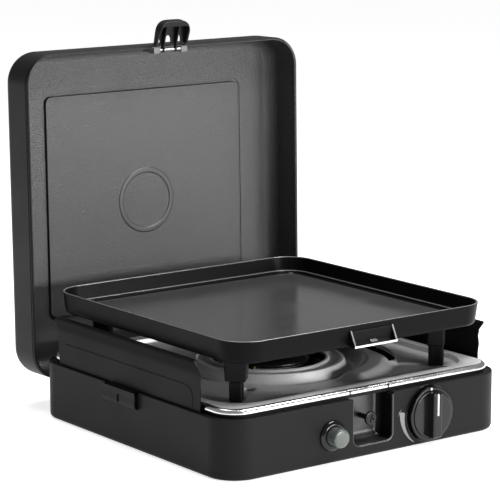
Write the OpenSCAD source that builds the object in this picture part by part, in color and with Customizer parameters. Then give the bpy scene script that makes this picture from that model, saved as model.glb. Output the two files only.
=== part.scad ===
// Single-burner suitcase camping stove with a lift-off griddle plate and two side windshields.
// X runs to the right, Y to the back, Z up. The origin is the middle of the tray's underside.

/* [Tray] */
// Width of the tray and of the lid
tray_w = 340; // [336:1:350]
// Depth of the tray, front to back
tray_d = 326; // [322:1:334]
// Height of the tray's wall
tray_h = 58; // [56:1:60]
// Radius of the tray's and the lid's upright corners
corner_r = 31; // [26:1:36]
// Thickness of the tray's and the lid's sheet steel
sheet_t = 1.5; // [1.2:0.1:1.8]
// How far the tray's inward lip reaches
lip_reach = 9; // [8:1:10]

/* [Lid] */
// Depth of the lid from its rim to its outer face
lid_depth = 46.5; // [42:0.5:52]
// How far the shut lid's back stands out behind the tray
lid_over = 7; // [6:0.5:8]
// How far the shut lid's front stands out before the tray
lid_front_over = 0.5; // [0:0.1:1]
// Gap between the shut lid's rim and the tray's lip
lid_gap = 0.2; // [0.1:0.1:1]
// Angle from shut to wide open, at which the lid stands
lid_open = 90.9; // [88:0.1:91.5]
// How far each hinge is from the middle
hinge_x = 95; // [80:1:110]
// Radius of the hinge pins
hinge_pin_r = 2.5; // [2:0.1:3]

/* [Latch] */
// Distance of the latch from the middle, to the right
latch_x = 2.5; // [1:0.5:3]
// Distance of the latch recess from the middle, to the right
recess_x = 1.5; // [0:0.5:3]
// Width of the latch recess in the tray's front
recess_w = 47; // [44:1:50]
// Height of the recess's lower edge
recess_z = 12; // [10:1:16]
// Length of the latch clip from its pin to its tip
clip_len = 31.5; // [30:0.5:36]
// Lean of the latch clip away from the plane of the lid's rim
clip_lean = 10; // [0:1:12]
// Radius of the latch pin
latch_pin_r = 1.6; // [1.4:0.1:1.8]

/* [Hob] */
// Height of the hob's outer rim
hob_z = 66; // [65:0.5:67]
// How far the hob's edge is inside the tray's outer faces
hob_inset = 6.5; // [6.5:0.5:8]
// Radius of the burner opening's polished lip
burner_lip_r = 58.7; // [56:0.1:60]
// Distance of a support post from the middle, left to right
post_x = 123; // [120:1:126]
// Distance of a support post from the middle, front to back
post_y = 113; // [110:1:116]
// Height at which the posts carry the plate's feet
post_top_z = 82; // [80:1:85]

/* [Plate] */
// Width of the griddle plate
plate_w = 310; // [304:1:312]
// Depth of the griddle plate, front to back
plate_d = 317.5; // [312:0.5:320]
// Distance of the plate's middle behind the tray's middle
plate_y = 1; // [0:0.5:2]
// Height of the plate's underside
plate_z = 106; // [104:1:108]
// Height of the plate's wall
plate_h = 22; // [20:1:24]
// Thickness of the plate's wall
plate_t = 3; // [2.5:0.5:4]

/* [Windshields] */
// Distance of each windshield from the middle
wing_x = 166; // [165.5:0.1:166.4]
// Height of the windshields' top edge
wing_top = 103; // [98:0.5:103.5]
// Front edge of the windshields
wing_front = -115.5; // [-118:0.5:-110]
// Rear tip of the windshields
wing_back = 137; // [134:0.5:140]
// Middle of the clip that holds each windshield
clip_y = 10; // [5:1:15]

/* [Controls] */
// Distance of the gas knob to the right of the middle
knob_x = 70; // [68:1:74]
// Height of the gas knob's middle
knob_z = 30.5; // [30:0.5:31]
// Radius of the gas knob's disc
knob_r = 26.4; // [24:0.1:27]
// Radius of the knob's raised face
knob_face_r = 23.2; // [20:0.1:24]
// Radius of the dial round the knob
dial_r = 28.5; // [28:0.5:29]
// Distance of the igniter button to the left of the middle
igniter_x = -48.5; // [-54:0.5:-47]
// Height of the igniter button's middle
igniter_z = 27; // [26:0.5:31]
// Radius of the igniter button
button_r = 9; // [8:0.5:9.5]
// How far the knob can be pushed in
knob_push = 2.5; // [2:0.5:2.5]
// How far the igniter button can be pushed in
button_push = 6; // [4:0.5:7]

/* [Hidden] */
$fn = 64;

eps = 0.01;
fit = 0.05;                         // running clearance round a pin
snug = 0.02;                        // clearance round a pin that is held still
front_y = -tray_d / 2;
back_y = tray_d / 2;
side_x = tray_w / 2;
inner_back_y = back_y - sheet_t;
inner_front_y = front_y + sheet_t;
lip_z = tray_h - 0.5;               // top of the tray's inward lip, where the hob stands
lip_t = 1.5;

// The lid is drawn shut and then turned open about the hinge pins.
hinge_y = back_y - 7.3;
hinge_z = tray_h - 13.1;
lid_z = tray_h + lid_gap;
lid_back_y = back_y + lid_over;
lid_front_y = front_y - lid_front_over;
lid_d = lid_back_y - lid_front_y;
lid_mid_y = (lid_back_y + lid_front_y) / 2;
lid_inner_y = lid_back_y - sheet_t;
panel_y = 0.5;                      // middle of the lid's pressed panel
arm_t = 3;
arm_gap = 0.4;

// Hob outline and its levels.
hob_w = tray_w - 2 * hob_inset;
hob_d = tray_d - 2 * hob_inset;
hob_r = corner_r - hob_inset;
hob_t = 1;
low_w = 301;                        // outline of the lowered area inside the hob's rim
low_d = 281;
low_r = 40;
corner_z = 61;                      // level of the hob where the posts stand
dish_z = 55;                        // lowest level, at the foot of the burner cone
dish_r = 135;
cone_foot_r = 81;
cone_top_r = 75.6;

post_w = 12;
post_l = 15;
peg_w = 8;
peg_l = 9;
peg_h = 5;
foot_w_top = 25;
foot_w_bottom = 19;
foot_l = 17;
screw_r = 2;

burner_r = 40;
tube_z = 32;
spark_a = 160;                      // where the electrode and the thermocouple stand round the burner
probe_a = 215;
sensor_r = 47;
inlet_y = 60;
inlet_z = 25;
thread_r = 6.58;                    // quarter-inch gas thread

pin_gap = 0.3;
latch_pin_y = lid_front_y + 4.3;
latch_pin_z = lid_z - 1.4;
ear_w = 7.5;
ear_x = 17.2;
clip_w = 40;
stud_x = recess_x - 0.1;
stud_z = 35;
stud_r = 6.75;

// 2-D rectangle with round corners, centred.
module rounded(w, d, r) {
  square([w - 2 * r, d], center = true);
  square([w, d - 2 * r], center = true);
  for (sx = [-1, 1], sy = [-1, 1])
    translate([sx * (w / 2 - r), sy * (d / 2 - r)]) circle(r);
}

// Upright prism on a rounded rectangle, between two heights.
module slab(w, d, r, z0, z1) {
  translate([0, 0, z0]) linear_extrude(z1 - z0) rounded(w, d, r);
}

// Box between two corners.
module block(low, high) {
  translate(low) cube(high - low);
}

// Cylinder along +Y that starts at a point.
module rod_y(x, y, z, r, len) {
  translate([x, y, z]) rotate([-90, 0, 0]) cylinder(r = r, h = len);
}

// Cylinder along +X that starts at a point.
module rod_x(x, y, z, r, len) {
  translate([x, y, z]) rotate([0, 90, 0]) cylinder(r = r, h = len);
}

// Pipe or lead along straight runs with ball elbows, each a little fuller than the pipe.
module run(points, r) {
  for (i = [0 : len(points) - 2]) {
    step = points[i + 1] - points[i];
    across = norm([step[0], step[1]]);
    translate(points[i])
      rotate([0, atan2(across, step[2]), atan2(step[1], step[0])]) cylinder(r = r, h = norm(step));
    if (i > 0) translate(points[i]) sphere(r * 1.06);
  }
}

// Turns a part that is drawn on the shut lid to where the open lid has it.
module opened() {
  translate([0, hinge_y, hinge_z]) rotate([-lid_open, 0, 0]) translate([0, -hinge_y, -hinge_z]) children();
}

// ---- Tray ----

module recess_outline(grow) {
  w = recess_w + 2 * grow;
  z0 = recess_z - grow;
  r = 7 + grow;
  translate([recess_x, 0]) {
    translate([-w / 2, z0 + r]) square([w, tray_h - z0 - r + 1]);
    translate([-w / 2 + r, z0]) square([w - 2 * r, r + 1]);
    for (s = [-1, 1]) translate([s * (w / 2 - r), z0 + r]) circle(r);
  }
}

module tray() {
  color([0.25, 0.25, 0.26])
  difference() {
    union() {
      difference() {
        slab(tray_w, tray_d, corner_r, 0, tray_h);
        slab(tray_w - 2 * sheet_t, tray_d - 2 * sheet_t, corner_r - sheet_t, sheet_t, tray_h + 1);
      }
      difference() {
        slab(tray_w - sheet_t, tray_d - sheet_t, corner_r - sheet_t / 2, lip_z - lip_t, lip_z);
        slab(tray_w - 2 * lip_reach, tray_d - 2 * lip_reach, corner_r - lip_reach, 0, tray_h);
      }
    }
    // Latch recess
    translate([0, front_y + lip_reach + 1, 0]) rotate([90, 0, 0])
      linear_extrude(lip_reach + 2) recess_outline(0);
    // Slots for the hinge arms
    for (s = [-1, 1])
      block([s * hinge_x - arm_t / 2 - 1, hinge_y - 12, hinge_z - 6], [s * hinge_x + arm_t / 2 + 1, back_y + 1,
        tray_h + 1]);
    // Notches in the rim where the windshields' tongues cross
    for (s = [-1, 1])
      block([s * side_x - 8, -s * clip_y - 29, lip_z - lip_t - 1], [s * side_x + 8, 29 - s * clip_y, tray_h + 1]);
    // Holes for the knob's stem, the igniter and the gas inlet
    rod_y(knob_x, front_y - 1, knob_z, 5, 4);
    rod_y(igniter_x, front_y - 1, igniter_z, 11.5, 4);
    rod_x(side_x - 3, inlet_y, inlet_z, 7, 4);
    // Air slots in the floor
    for (s = [-1, 1], i = [0 : 5])
      translate([s * 75, -50 + 20 * i, -1]) linear_extrude(4) rounded(60, 6, 2.9);
  }
}

module catch_pocket() {
  y0 = inner_front_y;
  y1 = inner_front_y + 21;
  color([0.06, 0.06, 0.06])
  difference() {
    translate([0, y1, 0]) rotate([90, 0, 0]) linear_extrude(y1 - y0) recess_outline(1.5);
    translate([0, y1 - 1.5, 0]) rotate([90, 0, 0]) linear_extrude(y1 - y0 + 1) recess_outline(0);
    block([recess_x - 40, y0 - 1, lip_z - lip_t - 0.3], [recess_x + 40, y1 + 1, tray_h + 5]);
    rod_y(stud_x, y1 - 2, stud_z, 2.6, 4);
  }
}

module catch_stud() {
  y0 = front_y + 3;
  y1 = inner_front_y + 21 + 3;
  color([0.12, 0.12, 0.12]) {
    rod_y(stud_x, y0, stud_z, stud_r, 4.5);
    rod_y(stud_x, y0 + 4, stud_z, 2.58, y1 - y0 - 4);
  }
}

// ---- Hob ----

module hob_top() {
  color([0.75, 0.76, 0.77])
  difference() {
    union() {
      difference() {
        slab(hob_w, hob_d, hob_r, lip_z, hob_z);
        slab(hob_w - 2.4, hob_d - 2.4, hob_r - 1.2, lip_z - 1, hob_z - hob_t);
        slab(low_w, low_d, low_r, lip_z, hob_z + 1);
      }
      difference() {
        slab(low_w + 2, low_d + 2, low_r + 1, corner_z - hob_t, hob_z);
        slab(low_w, low_d, low_r, corner_z, hob_z + 1);
        cylinder(r = dish_r - 1, h = 100);
      }
      rotate_extrude() polygon([[dish_r, corner_z - hob_t], [dish_r, corner_z], [dish_r - 3, corner_z],
        [cone_foot_r, dish_z], [cone_top_r, hob_z - 1], [burner_lip_r, hob_z + 0.4],
        [burner_lip_r - 1, hob_z + 0.4], [burner_lip_r - 1, hob_z - 4], [burner_lip_r, hob_z - 4],
        [burner_lip_r, hob_z - 0.7], [cone_top_r - 0.7, hob_z - 2], [cone_foot_r - 0.7, dish_z - hob_t],
        [dish_r - 3, corner_z - hob_t]]);
    }
    for (sx = [-1, 1], sy = [-1, 1])
      translate([sx * post_x, sy * post_y, corner_z - 3]) cylinder(r = screw_r + 0.3, h = 5);
  }
}

// Raised half ring pressed into the hob's right side, with a lens-shaped air opening near its outer edge.
module hob_hump() {
  reach = 80;                       // degrees to each side of the right
  lens_r = 124;
  lens_back_r = 244;
  lens_back_x = 103 - lens_back_r;
  color([0.72, 0.73, 0.74])
  difference() {
    rotate([0, 0, -reach]) rotate_extrude(angle = 2 * reach)
      polygon([[85, 55.7], [91, 61.5], [100, 65.2], [110, 65.6], [120, 63.4], [127, 60.75], [125.2, 60.6],
        [119.5, 62.4], [110, 64.6], [100.2, 64.2], [91.8, 60.8], [86.3, 55.8]]);
    translate([0, 0, 50]) linear_extrude(30) difference() {
      circle(lens_r);
      translate([lens_back_x, 0]) circle(lens_back_r);
    }
  }
}

module post(sx, sy) {
  color([0.07, 0.07, 0.07])
  translate([sx * post_x, sy * post_y, 0]) rotate([0, 0, sx * sy * 45]) difference() {
    union() {
      block([-post_l / 2, -post_w / 2, corner_z], [post_l / 2, post_w / 2, post_top_z]);
      block([-peg_l / 2, -peg_w / 2, post_top_z - 1], [peg_l / 2, peg_w / 2, post_top_z + peg_h]);
    }
    translate([0, 0, corner_z - 1]) cylinder(r = screw_r + snug, h = 13);
  }
}

module front_left_post() { post(-1, -1); }
module front_right_post() { post(1, -1); }
module rear_left_post() { post(-1, 1); }
module rear_right_post() { post(1, 1); }

module post_screws() {
  color([0.6, 0.6, 0.6])
  for (sx = [-1, 1], sy = [-1, 1]) translate([sx * post_x, sy * post_y, 0]) {
    translate([0, 0, corner_z - hob_t - 3]) cylinder(r = 4, h = 3);
    translate([0, 0, corner_z - hob_t - 0.5]) cylinder(r = screw_r, h = 12);
  }
}

// ---- Burner ----

module burner_bowl() {
  color([0.05, 0.05, 0.05])
  difference() {
    rotate_extrude() polygon([[17, 46], [50, 46], [56.5, 58], [56.5, 64], [57.5, 64], [57.5, 57.6], [50.8, 45],
      [17, 45]]);
    for (a = [spark_a, probe_a]) rotate([0, 0, a]) translate([sensor_r, 0, 40]) cylinder(r = 4.2, h = 10);
  }
}

module burner_head() {
  color([0.62, 0.62, 0.6])
  difference() {
    union() {
      translate([0, 0, 22]) cylinder(r = 14, h = 30);
      translate([0, 0, 50]) cylinder(r1 = 20, r2 = burner_r, h = 6);
      translate([0, 0, 56]) cylinder(r = burner_r, h = 7);
    }
    translate([0, 0, 24]) cylinder(r = 11, h = 60);
    translate([0, 0, 54]) cylinder(r1 = 14, r2 = burner_r - 4, h = 6);
    translate([0, 0, 59.9]) cylinder(r = burner_r - 4, h = 10);
    rod_y(0, -20, tube_z, 7.5, 14);
    for (a = [0 : 15 : 345]) rotate([0, 0, a]) rod_x(burner_r - 6, 0, 61, 1.1, 8);
  }
}

module burner_cap() {
  color([0.06, 0.06, 0.06]) {
    translate([0, 0, 63]) cylinder(r = burner_r + 1, h = 3);
    translate([0, 0, 66]) cylinder(r1 = burner_r + 1, r2 = burner_r - 4, h = 4);
    difference() {
      translate([0, 0, 60.5]) cylinder(r = burner_r - 5, h = 3);
      translate([0, 0, 59]) cylinder(r = burner_r - 7, h = 4);
    }
  }
}

module burner_bracket() {
  color([0.7, 0.7, 0.7])
  difference() {
    block([-34, -12, sheet_t], [34, 12, 22]);
    block([-32.5, -13, -1], [32.5, 13, 20.5]);
  }
}

module mixing_tube() {
  color([0.66, 0.66, 0.65])
  difference() {
    union() {
      rod_y(0, -82, tube_z, 9, 68.2);
      translate([0, -88, tube_z]) rotate([-90, 0, 0]) cylinder(r1 = 14, r2 = 9, h = 8);
    }
    rod_y(0, -90, tube_z, 7.5, 90);
    translate([0, -88.01, tube_z]) rotate([-90, 0, 0]) cylinder(r1 = 12.5, r2 = 7.5, h = 8);
    // Saddle against the burner's upright barrel
    translate([0, 0, 20]) cylinder(r = 14, h = 30);
  }
}

module jet_holder() {
  color([0.72, 0.56, 0.25])
  difference() {
    block([-8, -112, tube_z - 8], [8, -98, tube_z + 8]);
    rod_y(0, -106, tube_z, 3 + snug, 10);
    rod_y(0, -113, tube_z, 1.5, 10);
  }
}

module jet() {
  color([0.8, 0.63, 0.3])
  difference() {
    union() {
      rod_y(0, -104, tube_z, 3, 8);
      translate([0, -98, tube_z]) rotate([-90, 0, 0]) cylinder(r = 5, h = 4, $fn = 6);
      translate([0, -94, tube_z]) rotate([-90, 0, 0]) cylinder(r1 = 4, r2 = 2, h = 3);
    }
    rod_y(0, -105, tube_z, 0.5, 16);
  }
}

// ---- Gas valve ----

module gas_valve() {
  color([0.72, 0.56, 0.25])
  difference() {
    union() {
      block([knob_x - 10, -156, knob_z - 10], [knob_x + 10, -122, knob_z + 10]);
      rod_y(knob_x, -159.8, knob_z, 8, 5);
    }
    rod_y(knob_x, -170, knob_z, 4 + fit, 36);
    rod_y(knob_x, -140, knob_z, 3 + fit, 20);
  }
}

module valve_bracket() {
  color([0.7, 0.7, 0.7])
  difference() {
    union() {
      block([knob_x - 22, inner_front_y, knob_z - 14], [knob_x + 22, inner_front_y + 1.5, knob_z + 14]);
      for (s = [-1, 1]) block([knob_x + s * 11 - 0.75, inner_front_y + 1, knob_z - 14],
        [knob_x + s * 11 + 0.75, -150, knob_z - 7]);
    }
    rod_y(knob_x, inner_front_y - 1, knob_z, 8.3, 4);
  }
}

module safety_magnet() {
  color([0.72, 0.6, 0.35])
  difference() {
    rod_y(knob_x, -122, knob_z, 8, 20);
    rod_y(knob_x, -123, knob_z, 3.1, 9);
  }
}

module valve_plunger() {
  color([0.75, 0.75, 0.75])
  rod_y(knob_x, -137.5, knob_z, 3, 19);
}

module valve_stem() {
  color([0.78, 0.64, 0.35])
  rod_y(knob_x, front_y - 12, knob_z, 4, 37.2);
}

// Two pipes joined by a square elbow block.
module feed_pipe() {
  color([0.75, 0.45, 0.3]) {
    rod_x(0, -132, tube_z, 2.5, knob_x - 10);
    rod_y(0, -132, tube_z, 2.5, 20);
    block([-4, -136, tube_z - 4], [4, -128, tube_z + 4]);
  }
}

module inlet_pipe() {
  color([0.75, 0.45, 0.3])
  run([[156, inlet_y, inlet_z], [145, inlet_y, inlet_z], [145, -145, inlet_z], [knob_x + 10, -145, inlet_z]], 3);
}

module gas_inlet() {
  color([0.78, 0.62, 0.3])
  difference() {
    union() {
      rod_x(160, inlet_y, inlet_z, thread_r - 0.4, 20);
      rod_x(side_x + 4, inlet_y, inlet_z, thread_r, 10);
      translate([156, inlet_y, inlet_z]) rotate([0, 90, 0]) cylinder(r = 9, h = 12.4, $fn = 6);
    }
    rod_x(side_x, inlet_y, inlet_z, 2.5, 20);
  }
}

module inlet_nut() {
  color([0.78, 0.62, 0.3])
  difference() {
    translate([side_x, inlet_y, inlet_z]) rotate([0, 90, 0]) cylinder(r = 10, h = 4, $fn = 6);
    rod_x(side_x - 1, inlet_y, inlet_z, thread_r - 0.4 + snug, 8);
  }
}

// ---- Ignition and flame safety ----

module spark_electrode() {
  color([0.9, 0.9, 0.86])
  rotate([0, 0, spark_a]) translate([sensor_r, 0, 0]) {
    translate([0, 0, 38]) cylinder(r = 3.5, h = 22);
    translate([0, 0, 59]) cylinder(r = 1, h = 7);
  }
}

module electrode_lead() {
  at = sensor_r * [cos(spark_a), sin(spark_a), 0];
  color([0.5, 0.1, 0.08])
  run([at + [0, 0, 38], at + [0, 0, igniter_z], [at[0], -70, igniter_z], [igniter_x, -70, igniter_z],
    [igniter_x, -115, igniter_z]], 1.3);
}

module thermocouple() {
  color([0.7, 0.55, 0.35])
  rotate([0, 0, probe_a]) translate([sensor_r, 0, 0]) {
    translate([0, 0, 40]) cylinder(r = 3, h = 18);
    translate([0, 0, 57]) cylinder(r = 2, h = 9);
  }
}

module thermocouple_lead() {
  at = sensor_r * [cos(probe_a), sin(probe_a), 0];
  color([0.7, 0.4, 0.28])
  run([at + [0, 0, 40], at + [0, 0, 12], [at[0], -50, 12], [knob_x, -50, 12], [knob_x, -50, knob_z],
    [knob_x, -102, knob_z]], 1.2);
}

module igniter_body() {
  color([0.1, 0.1, 0.1])
  difference() {
    union() {
      rod_y(igniter_x, inner_front_y, igniter_z, 13, 6);
      rod_y(igniter_x, inner_front_y + 5, igniter_z, 11, 41.5);
    }
    rod_y(igniter_x, inner_front_y - 1, igniter_z, button_r + 0.3, 25);
  }
}

module igniter_bezel() {
  color([0.1, 0.1, 0.1])
  difference() {
    union() {
      rod_y(igniter_x, front_y - 2, igniter_z, 15, 2);
      translate([igniter_x, front_y - 4, igniter_z]) rotate([-90, 0, 0]) cylinder(r1 = 12.5, r2 = 15, h = 2);
      rod_y(igniter_x, front_y - 1, igniter_z, 11.4, 1 + sheet_t);
    }
    rod_y(igniter_x, front_y - 6, igniter_z, button_r + 0.3, 12);
  }
}

module igniter_button() {
  color([0.32, 0.36, 0.34]) {
    rod_y(igniter_x, front_y - 15, igniter_z, button_r, 25);
    translate([igniter_x, front_y - 16, igniter_z]) rotate([-90, 0, 0])
      cylinder(r1 = button_r - 1, r2 = button_r, h = 1);
  }
}

// ---- Knob ----

module dial() {
  color([0.14, 0.14, 0.14])
  difference() {
    rod_y(knob_x, front_y - 1, knob_z, dial_r, 1);
    rod_y(knob_x, front_y - 2, knob_z, 5, 4);
  }
}

module knob() {
  y0 = front_y - 15;
  disc_y = front_y - 1.5 - knob_push;
  color([0.08, 0.08, 0.08])
  difference() {
    union() {
      rod_y(knob_x, disc_y - 2, knob_z, knob_r, 2);
      rod_y(knob_x, disc_y - 3.2, knob_z, knob_face_r, 2);
      intersection() {
        rod_y(knob_x, y0, knob_z, knob_face_r - 0.4, 13);
        block([knob_x - 5.5, y0, knob_z - knob_r], [knob_x + 5.5, disc_y - 2, knob_z + knob_r]);
      }
    }
    rod_y(knob_x, front_y - 12, knob_z, 4 + snug, 30);
    block([knob_x - 1, y0 - 1, knob_z + 2], [knob_x + 1, y0 + 1, knob_z + 21.6]);
  }
}

module knob_pointer() {
  y0 = front_y - 15;
  color([0.92, 0.92, 0.92])
  block([knob_x - 0.95, y0, knob_z + 2.1], [knob_x + 0.95, y0 + 0.98, knob_z + 21.5]);
}

// ---- Windshields ----

module wing_clip() {
  y0 = clip_y - 28.5;
  y1 = clip_y + 28.5;
  x1 = side_x + 4.5;
  color([0.25, 0.25, 0.26])
  difference() {
    block([side_x, y0, 41], [x1, y1, tray_h - 0.5]);
    block([side_x - 1, y0 - 1, 42.5], [x1 - 1.5, y1 - 1.5, tray_h + 1]);
    block([side_x, clip_y - 1.1, 44], [x1 + 1, clip_y + 1.1, 52]);
  }
}

module left_wing_clip() { mirror([1, 0, 0]) wing_clip(); }
// The right clip and windshield are the left ones turned half way round
module right_wing_clip() { mirror([0, 1, 0]) wing_clip(); }

module windshield() {
  x0 = wing_x - 0.5;
  x1 = wing_x + 0.5;
  bottom = tray_h + 0.3;
  tongue_x = side_x + 1.4;
  color([0.07, 0.07, 0.07]) {
    translate([x0, 0, 0]) rotate([90, 0, 90]) linear_extrude(x1 - x0) polygon([[wing_front, bottom],
      [wing_front, wing_top - 11], [wing_front + 17, wing_top - 0.5], [wing_back, wing_top - 1],
      [wing_back - 8.5, wing_top - 10], [wing_back - 10, wing_top - 22], [wing_back - 10, bottom]]);
    translate([wing_x, wing_front + 17, wing_top - 1.3]) rotate([-90, 0, 0])
      cylinder(r = 1.3, h = wing_back - wing_front - 18);
    block([x0, clip_y - 24, lip_z - 0.8], [tongue_x + 1, clip_y + 24, lip_z + 0.4]);
    block([x0, clip_y - 24, lip_z - 0.8], [x1, clip_y + 24, bottom + 1]);
    block([tongue_x, clip_y - 24, 44], [tongue_x + 1, clip_y + 24, lip_z + 0.4]);
  }
}

module left_windshield() { mirror([1, 0, 0]) windshield(); }
module right_windshield() { mirror([0, 1, 0]) windshield(); }

// ---- Griddle plate ----

module griddle_plate() {
  top = plate_z + plate_h;
  color([0.06, 0.06, 0.06])
  translate([0, plate_y, 0]) difference() {
    slab(plate_w, plate_d, corner_r, plate_z, top);
    slab(plate_w - 2 * plate_t, plate_d - 2 * plate_t, corner_r - plate_t, plate_z + 5, top + 1);
    difference() {
      slab(plate_w - 2 * plate_t, plate_d - 2 * plate_t, corner_r - plate_t, plate_z + 4, plate_z + 6);
      slab(plate_w - 2 * plate_t - 14, plate_d - 2 * plate_t - 14, corner_r - plate_t - 7, 0, top);
    }
  }
}

module foot(sx, sy) {
  h = plate_z - post_top_z;
  color([0.07, 0.07, 0.07])
  translate([sx * post_x, sy * post_y, post_top_z]) rotate([0, 0, sx * sy * 45]) difference() {
    rotate([90, 0, 90]) translate([0, 0, -foot_l / 2]) linear_extrude(foot_l)
      polygon([[-foot_w_bottom / 2, 0], [foot_w_bottom / 2, 0], [foot_w_top / 2, h], [-foot_w_top / 2, h]]);
    block([-peg_l / 2 - 0.5, -peg_w / 2 - 0.5, -1], [peg_l / 2 + 0.5, peg_w / 2 + 0.5, peg_h + 1]);
  }
}

module front_left_foot() { foot(-1, -1); }
module front_right_foot() { foot(1, -1); }
module rear_left_foot() { foot(-1, 1); }
module rear_right_foot() { foot(1, 1); }

// Two gussets and a bar that take the tongue of a lifting grip.
module grip_socket() {
  y1 = plate_y - plate_d / 2;
  y0 = y1 - 8;
  grip_x = 4;
  half_w = 26;
  color([0.55, 0.55, 0.55]) {
    for (s = [-1, 1])
      translate([grip_x + s * (half_w + 1.5) - 1.5, 0, 0]) rotate([90, 0, 90]) linear_extrude(3)
        polygon([[y1, plate_z], [y0, plate_z], [y0, plate_z + 3], [y1 - 1, plate_z + 17], [y1, plate_z + 17]]);
    block([grip_x - half_w - 1, y0, plate_z], [grip_x + half_w + 1, y0 + 2.8, plate_z + 2.5]);
  }
}

// ---- Lid ----

module lid() {
  top = lid_z + lid_depth;
  color([0.23, 0.23, 0.24])
  opened() difference() {
    union() {
      translate([0, lid_mid_y, 0]) difference() {
        slab(tray_w, lid_d, corner_r, lid_z, top);
        slab(tray_w - 2 * sheet_t, lid_d - 2 * sheet_t, corner_r - sheet_t, lid_z - 1, top - sheet_t);
      }
      // Raised outline of a panel pressed into the lid
      translate([0, panel_y, 0]) difference() {
        slab(247, 233, 9, top - sheet_t - 0.8, top - 0.5);
        slab(242, 228, 6.5, top - sheet_t - 2, top + 1);
      }
    }
    // Notch for the latch
    block([latch_x - 21.3, lid_front_y - 1, lid_z - 1], [latch_x + 21.3, lid_front_y + 9, lid_z + 9]);
  }
}

module lid_badge() {
  z1 = lid_z + lid_depth - sheet_t;
  color([0.5, 0.5, 0.51])
  opened() translate([0, lid_mid_y, z1 - 0.6]) difference() {
    cylinder(r = 34, h = 0.6);
    translate([0, 0, -1]) cylinder(r = 30, h = 3);
  }
}

module hinge_arm(side) {
  x0 = side * hinge_x - arm_t / 2;
  color([0.3, 0.3, 0.3])
  opened() difference() {
    union() {
      rod_x(x0, hinge_y, hinge_z, 5, arm_t);
      block([x0, hinge_y - 2, hinge_z], [x0 + arm_t, inner_back_y - 0.3, tray_h - 1]);
      block([x0, hinge_y + 1.8, tray_h - 2], [x0 + arm_t, lid_inner_y - 0.05, tray_h + 30]);
      block([side * hinge_x - 10, lid_inner_y - 1.55, tray_h + 4], [side * hinge_x + 10, lid_inner_y - 0.05,
        tray_h + 30]);
    }
    rod_x(x0 - 1, hinge_y, hinge_z, hinge_pin_r + fit, arm_t + 2);
    for (s = [-1, 1], z = [10, 24])
      rod_y(side * hinge_x + s * 6.5, lid_inner_y - 4, tray_h + z, 1.5 + snug, 6);
  }
}

module left_hinge_arm() { hinge_arm(-1); }
module right_hinge_arm() { hinge_arm(1); }

module hinge_rivets() {
  color([0.6, 0.6, 0.6])
  opened() for (side = [-1, 1], s = [-1, 1], z = [10, 24]) {
    rod_y(side * hinge_x + s * 6.5, lid_inner_y - 1.6, tray_h + z, 1.5, 1.55);
    rod_y(side * hinge_x + s * 6.5, lid_inner_y - 2.8, tray_h + z, 2.6, 1.2);
  }
}

module hinge_bracket(side) {
  x0 = side * hinge_x;
  ear0 = arm_t / 2 + arm_gap;
  low_z = hinge_z - 13;
  high_z = hinge_z + 7;
  color([0.68, 0.68, 0.68])
  difference() {
    union() {
      for (s = [-1, 1]) {
        block([x0 + s * (ear0 + 1) - 1, hinge_y - 6, low_z], [x0 + s * (ear0 + 1) + 1, inner_back_y, high_z]);
        block([x0 + s * (ear0 + 8) - 8, inner_back_y - 1.5, low_z], [x0 + s * (ear0 + 8) + 8, inner_back_y, high_z]);
      }
      block([x0 - ear0 - 1, inner_back_y - 1.5, low_z], [x0 + ear0 + 1, inner_back_y, hinge_z - 7]);
    }
    rod_x(x0 - 10, hinge_y, hinge_z, hinge_pin_r + snug, 20);
  }
}

module left_hinge_bracket() { hinge_bracket(-1); }
module right_hinge_bracket() { hinge_bracket(1); }

module hinge_pin(side) {
  color([0.7, 0.7, 0.7])
  difference() {
    union() {
      rod_x(side * hinge_x - 5, hinge_y, hinge_z, hinge_pin_r, 10);
      rod_x(side * hinge_x + side * 5 - 0.75, hinge_y, hinge_z, hinge_pin_r + 1.2, 1.5);
    }
  }
}

module left_hinge_pin() { hinge_pin(-1); }
module right_hinge_pin() { hinge_pin(1); }

// ---- Latch ----

// Tips the clip forward about its pin
module leaned() {
  translate([0, latch_pin_y, latch_pin_z]) rotate([clip_lean, 0, 0]) translate([0, -latch_pin_y, -latch_pin_z])
    children();
}

module latch_bracket() {
  y0 = lid_front_y + 1.5;
  color([0.45, 0.45, 0.45])
  opened() difference() {
    union() {
      for (s = [-1, 1])
        block([latch_x + s * ear_x - ear_w / 2, y0, lid_z - 3.5], [latch_x + s * ear_x + ear_w / 2, y0 + 6.1,
          lid_z + 6.4]);
      // Web against the inside of the lid's wall
      block([latch_x - ear_x - ear_w / 2, y0 + 0.1, lid_z + 6], [latch_x + ear_x + ear_w / 2, y0 + 1.6, lid_z
        + 18]);
    }
    rod_x(latch_x - 30, latch_pin_y, latch_pin_z, latch_pin_r + snug, 60);
  }
}

module latch_pin() {
  color([0.8, 0.8, 0.8])
  opened() rod_x(latch_x - 20, latch_pin_y, latch_pin_z, latch_pin_r, 40);
}

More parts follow.
